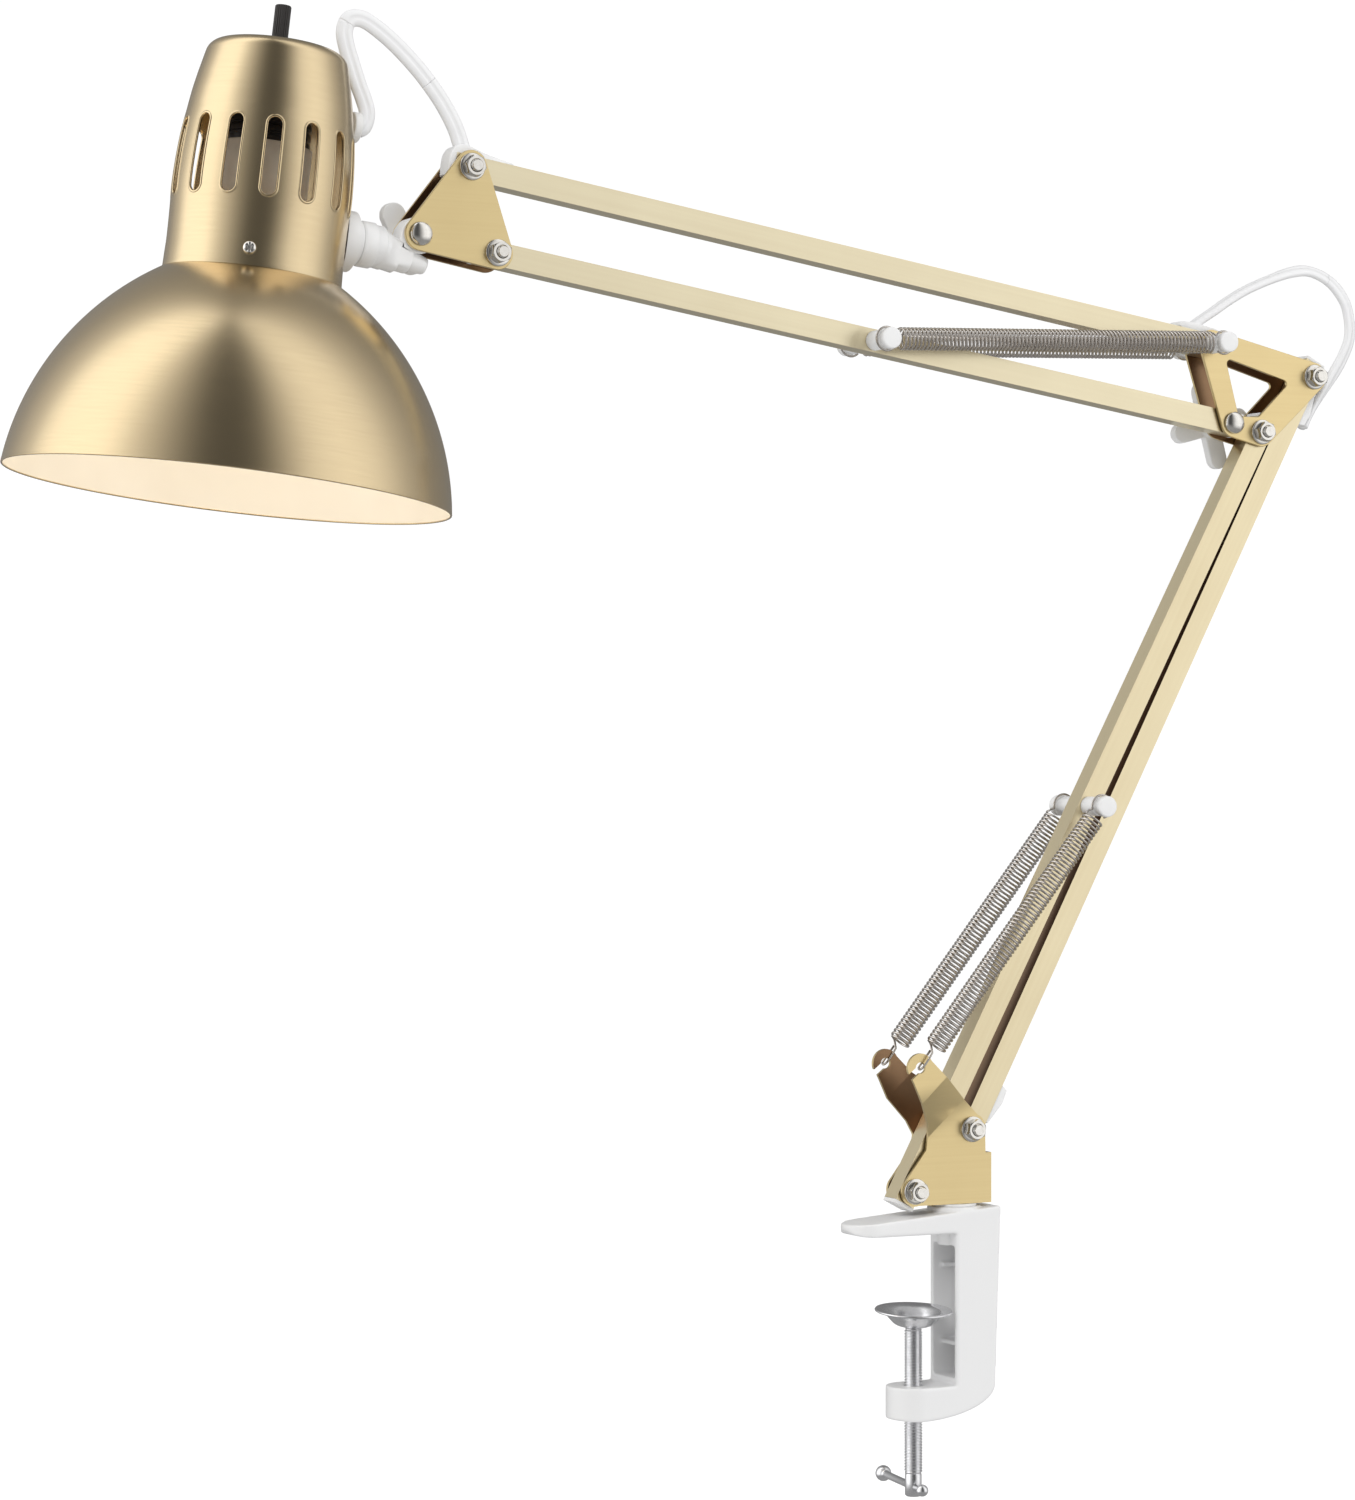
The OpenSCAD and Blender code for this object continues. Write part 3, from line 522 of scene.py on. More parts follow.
lean = math.radians(4)
pad_line = smooth_path([(0.0027, 0, 0.0012), (0.0058, 0, 0.0012), (0.0078, 0, 0.0021),
                        (0.0100, 0, 0.0043), (0.0122, 0, 0.0061), (0.0138, 0, 0.0068),
                        (0.0160, 0, 0.0072), (0.0167, 0, 0.0072)], 40)
pad_under = smooth_path([(0.0170, 0, 0.0068), (0.0166, 0, 0.0062), (0.0140, 0, 0.0057),
                         (0.0125, 0, 0.0050), (0.0104, 0, 0.0028), (0.0085, 0, 0.0010),
                         (0.0060, 0, 0.0), (0.0027, 0, 0.0)], 40)
pad_shape = np.vstack([pad_line, pad_under, pad_line[:1]])[:, [0, 2]]
pad = surface("real_pressure_pad",
              placed(turned(pad_shape, 96), (0, 0, -0.0404), (0, -math.sin(lean), math.cos(lean))))
rides(pad, "pad", "bolt_steel", "pressure_pad", zinc)
rivet = surface("real_pad_spigot", turned([
    (0, -0.0378), (0.0006, -0.0379), (0.0011, -0.0376), (0.0022, -0.0373), (0.0031, -0.0377),
    (0.0034, -0.0384), (0.0034, -0.0388), (0.0020, -0.0389), (0.0020, -0.0500), (0, -0.0500)], 40))
rides(rivet, "pad_stud", "bolt_steel", "pad_spigot", zinc)


def ball(middle, radius, start, end, count=14):
    """Profile of a ball on an axis, between two angles from its lower pole."""
    a = np.radians(np.linspace(start, end, count))
    return [(radius * math.sin(t), middle - radius * math.cos(t)) for t in a]


tommy_line = [*ball(-0.0105, 0.0026, 0, 140), (0.0016, -0.0082), (0.0016, 0.0327),
              *ball(0.0360, 0.0035, 28, 180)]
tommy = surface("real_tommy_bar",
                placed(turned(tommy_line, 32), (0, 0, -0.110), (0.1392, 0.9903, 0)))
rides(tommy, "tommy", "bolt_steel", "tommy_bar", zinc)

# ---- Base bracket ----
# One folded sheet of steel, 1.5 mm thick, in satin antique-brass lacquer over brushed metal. Its
# ears step outwards over two bends and end in open hooks for the springs. It turns on a pin.

# Dark brown for metal faces that look in between parts: painted shade.
painted_shade_brown = (0.32, 0.19, 0.10)


def brushed(name, bright, dull, rough, stretch, turn=(0, 0, 0), move=(0, 0, 0), patina=0.35,
            inside=None):
    """Brushed metal: fine lines along the least stretched axis, and slow clouds of duller tint.

    Where inside(place, normal) is 1 the metal is painted dark brown: painted shade where faces look
    in between parts.
    """
    paint, shader, place = finish_of(name, bright, rough, 1.0)
    lines = noise(place, 1.0, 2.0, stretch, turn, move)
    clouds = noise(place, 26.0, 3.0)
    tint = (clouds * patina + lines * 0.30).clamp()
    colour = tint.mix(bright, dull)
    if inside is not None:
        normal = place.of(place.node("ShaderNodeTexCoord"), "Normal")
        colour = inside(place, normal).mix(colour, painted_shade_brown)
    feed(shader,
         Base_Color=colour,
         Roughness=rough - 0.03 + lines * 0.06 + clouds * 0.04,
         Normal=bumped(lines, 0.03, 0.0001), Coat_Weight=0.35, Coat_Roughness=0.22)
    return paint


def facing_middle(place, normal):
    """1 on faces whose normal points back to the middle plane y = 0, where painted shade goes."""
    y = place.of(place.node("ShaderNodeSeparateXYZ", in0=place), 1)
    return ((along_axis(normal, (0, -1, 0)) * y.math("SIGN", y) - 0.5) * 5.0).clamp()


# The plates' inner faces, which look at each other, get painted shade.
sheet_brass = brushed("sheet_brass", (0.88, 0.71, 0.37), (0.72, 0.54, 0.26), 0.30,
                      (10, 200, 900), inside=facing_middle)
rounded("base_bracket", "base_bracket", "brass_paint", sheet_brass, 0.0003)
painted("swivel_pin", zinc)

# ---- Pivots ----
# M5 bolts in bright nickel: domed heads behind the plates, hexagon nuts and plain washers in
# front, with the threaded ends showing. Nylon washers keep each tube clear of its plates.
base_front = np.array([-0.0030, 0, 0.0185])
base_rear = np.array([0.0253, 0, 0.0443])
elbow_front = np.array([0.17562, 0, 0.35163])
elbow_rear = np.array([0.20392, 0, 0.37743])
elbow_top = np.array([0.14922, 0, 0.39003])
elbow_low = np.array([0.16072, 0, 0.35533])
head_top = np.array([-0.21118, 0, 0.44776])
head_low = np.array([-0.19968, 0, 0.41306])
head_pivot = np.array([-0.23378, 0, 0.41916])
plate_face, bolt_r = 0.0071, 0.0025

nickel, shader, place = finish_of("bright_nickel", (0.72, 0.70, 0.67), 0.16, 1.0)
smears = noise(place, 500.0, 3.0)
feed(shader,
     Base_Color=smears.mix((0.92, 0.90, 0.86), (0.72, 0.69, 0.64)),
     Roughness=0.08 + smears * 0.10)


def hexagon_nut(flats=0.008, thick=0.004, hole=0.0025, turn=0.3):
    """A nut: the hexagon's radius cut by 30 degree cones at both faces, round a bored hole."""
    a = np.linspace(0, 2 * np.pi, 97)
    hexagon = flats / 2 / np.cos(np.mod(a + turn, np.pi / 3) - np.pi / 6)
    face_r, corner_r = 0.0039, 0.00465
    cap = np.linspace(face_r, corner_r, 6)[:, None]
    low = np.minimum(hexagon, cap)
    h = (cap - face_r) * 0.62 + 0 * a
    bore = np.full((1, len(a)), hole)
    radii = np.concatenate([bore, bore + 0.0004, low, low[::-1], bore + 0.0004, bore, bore])
    heights = np.concatenate([0 * bore + 0.0003, 0 * bore, h, thick - h[::-1], 0 * bore + thick,
                              0 * bore + thick - 0.0003, 0 * bore + 0.0003])
    return polar(radii, a, heights)


def dome(radius=0.0048, height=0.0029):
    """Profile of a domed bolt head that stands on a face at h = 0."""
    a = np.radians(np.linspace(0, 90, 12))
    return [(radius, 0.0), (radius, 0.0006)] + [
        (radius * math.cos(t), 0.0006 + (height - 0.0006) * math.sin(t)) for t in a[1:]]


def rod(radius, low, high):
    """Profile of a plain rod between two heights."""
    return [(0, low), (radius, low), (radius, high), (0, high)]


washer_line = [(0.00252, 0.0), (0.0053, 0.0), (0.0056, 0.0002), (0.0056, 0.0008), (0.0053, 0.001),
               (0.0029, 0.001), (0.00252, 0.0008), (0.00252, 0.0)]
near, far = (0, -1, 0), (0, 1, 0)
groups = (
    ("base", "base_bracket", (base_front, base_rear), None),
    ("elbow", "elbow", (elbow_front, elbow_rear), elbow_low),
    ("head", "head_bracket", (head_top, head_low), head_pivot),
)
for name, body, nutted, knobbed in groups:
    y = np.array([0, -plate_face, 0])
    washers = surface(f"real_{name}_washers", *[
        placed(turned(washer_line), p + y, near) for p in nutted])
    nuts = surface(f"real_{name}_nuts", *[
        placed(hexagon_nut(turn=0.25 + 0.4 * k), p + y + np.array([0, -0.00102, 0]), near)
        for k, p in enumerate(nutted)])
    nuts.data.set_sharp_from_angle(angle=math.radians(28))
    washers.data.set_sharp_from_angle(angle=math.radians(60))
    bolts = []
    for p in nutted:
        bolts += [placed(threaded(bolt_r, 0.0110, 0.0137, 0.0008, 0.0004, 8, 32), p, near),
                  placed(turned(rod(bolt_r, -plate_face, 0.0112), 32), p, near),
                  placed(turned([(0, 0)] + dome(), 40), p - y, far)]
    if knobbed is not None:
        bolts += [placed(turned([(0, 0)] + dome(0.0050, 0.0030), 48), knobbed + y, near),
                  placed(turned(rod(bolt_r, -plate_face, 0.0160), 32), knobbed, far)]
    bolts = surface(f"real_{name}_bolts", *bolts)
    bolts.data.set_sharp_from_angle(angle=math.radians(50))
    rides(washers, body, "bolt_steel", f"{name}_washers", nickel)
    rides(nuts, body, "bolt_steel", f"{name}_nuts", nickel)
    rides(bolts, body, "bolt_steel", f"{name}_bolts", nickel)
    rounded(f"{name}_spacers", body, "white_plastic", nylon, 0.0001, 1)

# ---- Square tubes ----
# Four tubes of 10 mm square steel, 1 mm thick, brushed lengthwise and lacquered a paler brass
# than the plates. White plastic plugs close their ends, and clips guide the flex in and out.
lower_turn, upper_turn = math.radians(-61.8), math.radians(9.1)


def between_tubes(place, normal):
    """1 on the two lower tubes' faces that look at each other, where painted shade goes."""
    back = np.array([math.sin(-lower_turn), 0, -math.cos(lower_turn)])
    gap = float((base_rear - base_front) @ back)
    d = along_axis(place, tuple(back)) - float(base_front @ back)
    far_side = ((d - gap / 2) * 2000.0).clamp() * -2.0 + 1.0
    near_gap = ((gap / 2 - 0.0005) - (d - gap / 2).math("ABSOLUTE", d - gap / 2)) * 2000.0
    return ((along_axis(normal, tuple(back)) * far_side - 0.5) * 5.0).clamp() * near_gap.clamp()


# The lower tubes' faces that look at each other get painted shade.
lower_brass = brushed("lower_tube_brass", (0.94, 0.83, 0.56), (0.74, 0.60, 0.36), 0.30,
                      (6, 260, 620), turn=(0, lower_turn, 0), inside=between_tubes)
upper_brass = brushed("upper_tube_brass", (0.94, 0.85, 0.60), (0.76, 0.64, 0.42), 0.30,
                      (6, 260, 620), turn=(0, upper_turn, 0))
for node, body, paint in (
    ("lower_front_tube", "lower_bar_front", lower_brass),
    ("lower_rear_tube", "lower_bar_rear", lower_brass),
    ("upper_top_tube", "upper_bar_top", upper_brass),
    ("upper_bottom_tube", "upper_bar_bottom", upper_brass),
):
    rounded(node, body, "bar_paint", paint, 0.00045)
for node, body in (
    ("lower_front_plugs", "lower_bar_front"), ("lower_rear_plugs", "lower_bar_rear"),
    ("upper_top_plugs", "upper_bar_top"), ("upper_bottom_plugs", "upper_bar_bottom"),
    ("lower_cord_guides", "lower_bar_rear"),
):
    rounded(node, body, "white_plastic", nylon, 0.0004)

# ---- Side plates ----
# Pressed from the same brass-lacquered sheet as the base bracket. The elbow's plates have a
# window between their four pivots, and the head's are plain three-cornered plates.
for node, body in (
    ("elbow_plate_near", "elbow"), ("elbow_plate_far", "elbow"),
    ("head_plate_near", "head_bracket"), ("head_plate_far", "head_bracket"),
):
    rounded(node, body, "brass_paint", sheet_brass, 0.0003)

# ---- Spring posts ----
# White nylon sleeves on a steel rod, with a groove for the spring's loop and a wider round cap.
lower_post = base_front + 0.497 * (elbow_front - base_front)
upper_post = head_low + 0.493 * (elbow_low - head_low)


def post_line(start):
    """Profile of a spring post from a face out to its rounded cap."""
    edge = [(0.0046 - 0.0008 * (1 - math.cos(t)), 0.0206 + 0.0008 * math.sin(t))
            for t in np.radians(np.linspace(0, 90, 7))]
    return [(0, start), (0.0042, start), (0.0043, start + 0.0003), (0.0042, 0.0141),
            (0.0040, 0.0144), (0.0034, 0.0146), (0.0034, 0.0174), (0.0043, 0.0176),
            (0.0046, 0.0179), *edge, (0, 0.0216)]


for name, body, p, start in (
    ("lower_spring_posts", "lower_bar_front", lower_post, 0.00502),
    ("upper_spring_posts", "upper_bar_bottom", upper_post, 0.00502),
    ("elbow_spring_posts", "elbow", elbow_top, 0.00712),
):
    post = surface("real_" + name, placed(turned(post_line(start), 56), p, near),
                   placed(turned(post_line(start), 56), p, far))
    rides(post, body, "white_plastic", name, nylon)

# ---- Springs ----
# Four extension springs wound from 1 mm bright steel wire, 10 mm across. Loops at their ends sit
# in the posts' grooves, and the lower pair end in narrow loops drawn through the bracket's hooks.
wire_steel, shader, place = finish_of("spring_wire", (0.74, 0.72, 0.69), 0.20, 1.0)
feed(shader,
     Base_Color=noise(place, 400.0).mix((0.80, 0.76, 0.71), (0.52, 0.47, 0.43)),
     Roughness=0.18 + noise(place, 900.0) * 0.14)


def spring_path(reach, first, last, pitch, coil=0.0045, hooked=False):
    """Centre line of a spring along +Z: a loop, a helix of a pitch, and a loop.

    Helix: (coil cos a, coil sin a, first + pitch (a - pi) / 2 pi), from a = pi to a whole number
    of turns. A loop is a circle in the XZ plane round the post.
    """
    turns = round((last - first) / pitch)
    a = np.pi + np.linspace(0, 2 * np.pi * turns, turns * 22 + 1)
    rise = np.linspace(0, 1, len(a))
    helix = np.stack([coil * np.cos(a), coil * np.sin(a), first + (last - first) * rise], 1)
    ring = 0.0050
    t = np.radians(np.linspace(-310, -38, 40))
    loop = np.stack([ring * np.sin(t), 0 * t, ring * np.cos(t)], 1)
    if hooked:
        t = np.radians(np.linspace(0, 180, 13))
        bend = np.stack([0 * t, 0.0018 * np.cos(t), 0.0010 - 0.0018 * np.sin(t)], 1)
        start = np.vstack([[(0, 0.0018, first - 0.0022), (0, 0.0018, 0.0045)], bend,
                           [(0, -0.0018, 0.0045), (-0.0004, -0.0018, first - 0.0035),
                            (-0.0026, -0.0014, first - 0.0014)]])
    else:
        start = np.vstack([loop, [(-0.0040, 0, 0.0052)]])
    end = np.vstack([[(-0.0040, 0, reach - 0.0052)], loop[::-1] * (1, 1, -1) + (0, 0, reach)])
    return np.vstack([start, helix, end])


def spring_piece(name, a, b, y, first, last, pitch, wire, hooked=False):
    """Wire of a radius carried along a spring's centre line from a to b, at y to one side.

    Its coils start at a distance `first` from a and end at a distance `last` from b.
    """
    reach = float(np.linalg.norm(b - a))
    path = spring_path(reach, first, reach - last, pitch, hooked=hooked)
    spread = np.hypot(path[:, 0], path[:, 1]) + 1e-9
    t = np.gradient(path, axis=0)
    t /= np.linalg.norm(t, axis=1)[:, None]
    outward = np.stack([path[:, 0] / spread, path[:, 1] / spread, 0 * spread], 1)
    across = np.cross(np.cross(t, outward), t)
    side_y = np.cross(np.cross(t, np.array([0.0, 1.0, 0.0])), t)
    in_coil = (path[:, 2] > first - 1e-4) & (path[:, 2] < reach - last + 1e-4)
    in_coil = in_coil.astype(float)[:, None]
    ends = np.cross(np.cross(t, np.array([1.0, 0.0, 0.0])), t) if hooked else side_y
    across = across * in_coil + np.where(path[:, 2:] < reach / 2, ends, side_y) * (1 - in_coil)
    a_round = np.linspace(0, 2 * np.pi, 9)
    grid = carried(path, wire * np.stack([np.cos(a_round), np.sin(a_round)], 1), across)
    offset = np.array([0, y, 0])
    up = (b - a) / reach
    spring = surface("real_" + name, placed(grid, a + offset, up, np.cross([0, 1, 0], up)))
    spring.data.materials.append(wire_steel)
    a + 0.008 * up
    b - 0.008 * up
    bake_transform(spring)
    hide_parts(name)
    return spring


hook_eye = base_front + np.array([-0.0025, 0, 0.054])
for side_name, y in (("near", -0.016), ("far", 0.016)):
    spring_piece("lower_spring_" + side_name, hook_eye, lower_post, y,
                 first=0.0115, last=0.0066, pitch=0.00185, wire=0.00052, hooked=True)
    spring_piece("upper_spring_" + side_name, upper_post, elbow_top, y,
                 first=0.0066, last=0.0066, pitch=0.00185, wire=0.00050)

# ---- Hoods on the top tube ----
# Two white mouldings pressed onto the top tube where the flex comes out: one wraps the tube's end
# at the head, and the other is a low strip along its top at the elbow.


def cheek(outline, half, soft=0.0008):
    """A flat tongue: an outline in X and Z carried across Y, with its rims drawn in by `soft`."""
    middle = outline.mean(0)
    a = np.radians(np.linspace(0, 90, 5))
    rows = [(soft * (1 - math.sin(t)), -half + soft * (1 - math.cos(t))) for t in a]
    rows += [(d, -y) for d, y in rows[::-1]]
    grid = [middle + 0 * outline + np.array([0, -half, 0])]
    for draw, y in rows:
        span = outline - middle
        drawn = span * (1 - draw / np.linalg.norm(span, axis=1)[:, None])
        grid.append(middle + drawn + np.array([0, y, 0]))
    grid.append(middle + 0 * outline + np.array([0, half, 0]))
    return np.stack(grid)


def hood(points, pivot, along, half):
    """A moulding whose side outline is given along a tube and square to it, in mm from a pivot."""
    along = np.asarray(along, float)
    outline = smooth_path([(u, 0, v) for u, v in points + points[:1]], 121) / 1000
    square = np.array([-along[2], 0, along[0]])
    square = square if square[2] > 0 else -square
    return cheek(pivot + outline[:, :1] * along + outline[:, 2:] * square, half, 0.0006)


bar_along = (elbow_top - head_top) / np.linalg.norm(elbow_top - head_top)
hood_half = 0.00485
hoods = surface(
    "real_upper_cord_guides",
    hood([(-8.9, -4.6), (-9.3, 0), (-9.0, 4.2), (-7.2, 7.4), (-4, 8.7), (0, 8.5), (5, 7.4),
          (12, 6.4), (18.4, 5.7), (18.9, 5.2), (17, 4.4), (6, 4.2), (-3, 3), (-6, -2), (-7, -4.8)],
         head_top, bar_along, hood_half),
    hood([(16.8, 5.3), (16.4, 7.0), (14.4, 7.9), (8, 8.1), (0, 7.8), (-4, 7.2), (-6.2, 6.0),
          (-6.0, 4.6), (0, 4.2), (12, 4.2)], elbow_top, -bar_along, hood_half),
)
rides(hoods, "upper_bar_top", "white_plastic", "upper_cord_guides", nylon)

# ---- Knobs and knuckle ----
# Moulded in milky white nylon. The lobed knobs clamp the elbow and the head from the far side.
# The knuckle's tongue sits between the head plates, and its barrel turns in the cup's flange.
for node in ("elbow_knob", "head_knob"):
    moulded(node, node, "white_plastic", nylon, 0.00035, 8)

head_at = np.array([-0.304386, 0, 0.398007])
tilt = math.radians(7)
head_up = np.array([math.sin(tilt), 0, math.cos(tilt)])
head_out = np.array([math.cos(tilt), 0, -math.sin(tilt)])
knuckle_line = [
    (0, -0.0070), (0.0049, -0.0070), (0.0049, 0.0), (0.0084, 0.0), (0.0091, 0.0003),
    (0.0094, 0.0010), (0.0094, 0.0060), (0.0090, 0.0065), (0.0087, 0.0068), (0.0087, 0.0100),
    (0.0083, 0.0104), (0, 0.0104),
]
barrel = placed(turned(knuckle_line, 64), head_at + 0.043 * head_out + 0.0221 * head_up, head_out)

stub = np.array([(0.0590, 0.0230), (0.0650, 0.0215), (0.0720, 0.0228), (0.0745, 0.0262),
                 (0.0747, 0.0310), (0.0722, 0.0352), (0.0675, 0.0368), (0.0628, 0.0352),
                 (0.0600, 0.0310)])
stub = smooth_path(np.stack([stub[:, 0], 0 * stub[:, 0], stub[:, 1]], 1), 90)
stub = np.vstack([stub, stub[:1]])
spigot = [(0, -0.002), (0.0084, -0.002), (0.0084, 0.0), (0.0082, 0.0004), (0.0080, 0.0040),
          (0.0076, 0.0044), (0.0074, 0.0094), (0.0070, 0.0098), (0.0062, 0.0100), (0.0058, 0.0148),
          (0.0054, 0.0152), (0.0046, 0.0154), (0.0036, 0.0220), (0.0032, 0.0228),
          (0.0022, 0.0232), (0, 0.0233)]
spigot = placed(turned(spigot, 64), (0.0510, 0, 0.0216), (0.985, 0, -0.172), (0, 1, 0))
tongue_half, tongue_from = 0.005, 0.0585
spigot[..., 1] = np.where(spigot[..., 0] > tongue_from,
                          np.clip(spigot[..., 1], -tongue_half, tongue_half), spigot[..., 1])
head_axes = np.stack([head_out, [0, 1, 0], head_up])
knuckle = surface("real_knuckle", barrel, head_at + cheek(stub, tongue_half) @ head_axes,
                  head_at + spigot @ head_axes)
knuckle.data.set_sharp_from_angle(angle=math.radians(50))
rides(knuckle, "knuckle", "white_plastic", "knuckle", nylon)
rounded("swivel_flange", "head", "white_plastic", nylon, 0.0008)

# ---- Head: socket cup ----
# A cup drawn from 0.8 mm steel and spun smooth, in brushed brass lacquer. Its belly has upright
# vent slots with rolled rims, 14 to the turn with one left out above the knuckle, and three
# cross-head screws hold the shade at its mouth.
head_place = dict(turn=(0, tilt, 0), move=tuple(head_at))
head_brass = brushed("head_brass", (0.78, 0.63, 0.39), (0.66, 0.50, 0.29), 0.23, (60, 60, 1100),
                     patina=0.25, **head_place)


def on_head(grid):
    """Moves a grid from the head's own axes, Z up through the lamp, to where the head hangs."""
    return placed(grid, head_at, head_up, head_out)


cup_line = smooth_path([(0.0361, 0, 0), (0.0359, 0, 0.006), (0.0357, 0, 0.012),
                        (0.0358, 0, 0.022), (0.0361, 0, 0.034), (0.0359, 0, 0.042),
                        (0.0354, 0, 0.050), (0.0346, 0, 0.058), (0.0337, 0, 0.064),
                        (0.0324, 0, 0.0725), (0.0309, 0, 0.080)], 200)[:, [0, 2]]
crown_turn = np.radians(np.linspace(14, 90, 16))
wall = 0.0008


def crown_arc(turn, bend):
    """Rounded edge of the cup's top: an arc of a radius about its centre."""
    return np.stack([0.0227 + bend * np.cos(turn), 0.0878 + bend * np.sin(turn)], 1)


crown = crown_arc(crown_turn, 0.0062)
crown_in = crown_arc(crown_turn[::-1], 0.0054)


def cup_radius(h):
    """The cup's outer radius at a height."""
    return np.interp(h, cup_line[:, 1], cup_line[:, 0])


def cup_point(turn, h, proud):
    """A point of the cup's skin: r = cup_radius(h) + proud, at an angle and a height."""
    return polar(cup_radius(h) + proud, turn, h)


band_low, band_high, slot_half = 0.0245, 0.0655, 0.0029
slot_low, slot_high, belly_r = 0.0315, 0.0570, 0.0362
across_n, tall_n = 12, 28
slots = 14
half_sector = math.pi / slots
slot_turns = math.radians(22.5) + np.arange(slots - 1) * 2 * half_sector
side_u = np.linspace(-1, 1, across_n + 1)
side_h = np.linspace(0, 1, tall_n + 1)
frame_u = np.concatenate([side_u[:-1], np.ones(tall_n), side_u[:0:-1], -np.ones(tall_n + 1)])
frame_u = frame_u * half_sector
frame_h = np.concatenate([np.zeros(across_n), side_h[:-1], np.ones(across_n), side_h[::-1]])
frame_h = band_low + (band_high - band_low) * frame_h
third = np.radians(np.linspace(225, 315, across_n + 1))
arc_n = 8
flank_low = np.linspace(-45, 0, arc_n)
straight_n = tall_n + 1 - 2 * arc_n
arc_a = np.radians(np.concatenate([flank_low, np.full(straight_n, 0.0), -flank_low[::-1]]))
rise = np.concatenate([np.zeros(arc_n), np.linspace(0, 1, straight_n + 2)[1:-1], np.ones(arc_n)])
right = np.stack([slot_half * np.cos(arc_a),
                  slot_half * np.sin(arc_a) + slot_low + rise * (slot_high - slot_low)], 1)
bottom = np.stack([slot_half * np.cos(third), slot_low + slot_half * np.sin(third)], 1)
top = np.stack([slot_half * np.cos(third - np.pi),
                slot_high + slot_half * np.sin(third - np.pi)], 1)
left = right[::-1] * (-1, 1)
slot_ring = np.concatenate([bottom[:-1], right[:-1], top[:-1], left])
slot_middle = np.stack([0 * slot_ring[:, 0], np.clip(slot_ring[:, 1], slot_low, slot_high)], 1)
slot_out = (slot_ring - slot_middle) / slot_half


def slot_row(gap, proud):
    """Angles and heights of a ring at a gap outside the slot's edge, and its lift off the skin."""
    ring = slot_ring + gap * slot_out
    return ring[:, 0] / belly_r, ring[:, 1], proud


def sector(middle):
    """The cup's wall round one slot: outer skin, rolled rim, slot edge and inner skin."""
    edge_u, edge_h, _ = slot_row(0.0012, 0.0)
    rows = [(edge_u + (frame_u - edge_u) * s, edge_h + (frame_h - edge_h) * s, 0.0)
            for s in (1.0, 0.66, 0.38, 0.16, 0.0)]
    a = np.radians(np.linspace(0, 180, 9))
    rows += [slot_row(0.00055 + 0.00045 * math.cos(t), 0.00026 * math.sin(t)) for t in a]
    rows += [slot_row(0.00002, -0.00012), slot_row(0.0, -wall)]
    rows += [(edge_u + (frame_u - edge_u) * s, edge_h + (frame_h - edge_h) * s, -wall)
             for s in (0.0, 0.5, 1.0)]
    return np.stack([cup_point(u + middle, h, d) for u, h, d in rows])


plain_turn = slot_turns[-1] + 2 * half_sector
ring_turn = np.concatenate([m + side_u[:-1] * half_sector for m in (*slot_turns, plain_turn)])
ring_turn = np.append(ring_turn, ring_turn[0] + 2 * np.pi)


def cup_band(heights, proud):
    """The cup's skin over some heights, at the same angles as the sectors' points."""
    return cup_point(ring_turn[None, :], np.asarray(heights)[:, None], proud)


def cup_rings(line):
    """Profile points (r, h) carried round at the same angles as the sectors' points."""
    line = np.asarray(line)
    return polar(line[:, :1], ring_turn, line[:, 1:])


mouth = [(0.0361, 0.0), (0.03605, -0.0002), (0.0357, -0.0003), (0.03535, -0.0002), (0.0353, 0.0)]
high = np.linspace(band_high, 0.080, 14)
cup = surface(
    "real_socket_cup",
    *[on_head(sector(m)) for m in slot_turns],
    *[on_head(cup_point(plain_turn + side_u[None, :] * half_sector,
                        (band_low + (band_high - band_low) * side_h)[:, None], d))
      for d in (0.0, -wall)],
    on_head(cup_band(np.linspace(0, band_low, 20), 0.0)),
    on_head(cup_band(np.linspace(0, band_low, 20), -wall)),
    on_head(cup_band(high, 0.0)), on_head(cup_band(high, -wall)),
    on_head(cup_rings(mouth)),
    on_head(cup_rings([(0.0309, 0.080), *crown, (0.0100, 0.0940), (0.0052, 0.0940),
                       (0.0034, 0.0938), (0.0034, 0.0934), (0.0100, 0.0932), *crown_in,
                       (0.0301, 0.080)])),
)
rides(cup, "head", "brass_paint", "socket_cup", head_brass)

screw_line = [(0, 0.0019), (0.0008, 0.00188), (0.0017, 0.0017), (0.0024, 0.0013), (0.0026, 0.0009),
              (0.0026, 0.0), (0.00125, 0.0), (0.00125, -0.0042), (0, -0.0042)]
heads = []
for angle in (6.6, 126.6, 246.6):
    t = math.radians(angle)
    grid = turned(screw_line, 64)
    r = np.hypot(grid[..., 0], grid[..., 1])
    thin = np.minimum(np.abs(grid[..., 0] + grid[..., 1]),
                      np.abs(grid[..., 0] - grid[..., 1])) / 1.414
    press = (np.clip(1 - thin / 0.00038, 0, 1) * np.clip((0.00165 - r) / 0.0004, 0, 1)
             * (grid[..., 2] > 0.0010))
    grid[..., 2] -= 0.0007 * np.minimum(press * 3, 1)
    heads.append(on_head(placed(grid, (0.0358 * math.cos(t), 0.0358 * math.sin(t), 0.0067),
                                (math.cos(t), math.sin(t), 0), (0, 0, 1))))
cup_screws = surface("real_cup_screws", *heads)
rides(cup_screws, "head", "bolt_steel", "cup_screws", nickel)

# ---- Head: shade ----
# A dome spun from steel sheet with a wired rim, brushed round its axis and lacquered brass outside.
# Inside it is stove-enamelled white, warm from the lit bulb.
enamel, shader, place = finish_of("warm_white_enamel", (0.84, 0.80, 0.72), 0.30)
feed(shader,
     Base_Color=noise(place, 40.0).mix((0.88, 0.84, 0.76), (0.80, 0.75, 0.66)),
     Roughness=0.26 + noise(place, 300.0) * 0.12)

dome_middle = np.array([-0.0243, -0.0982])


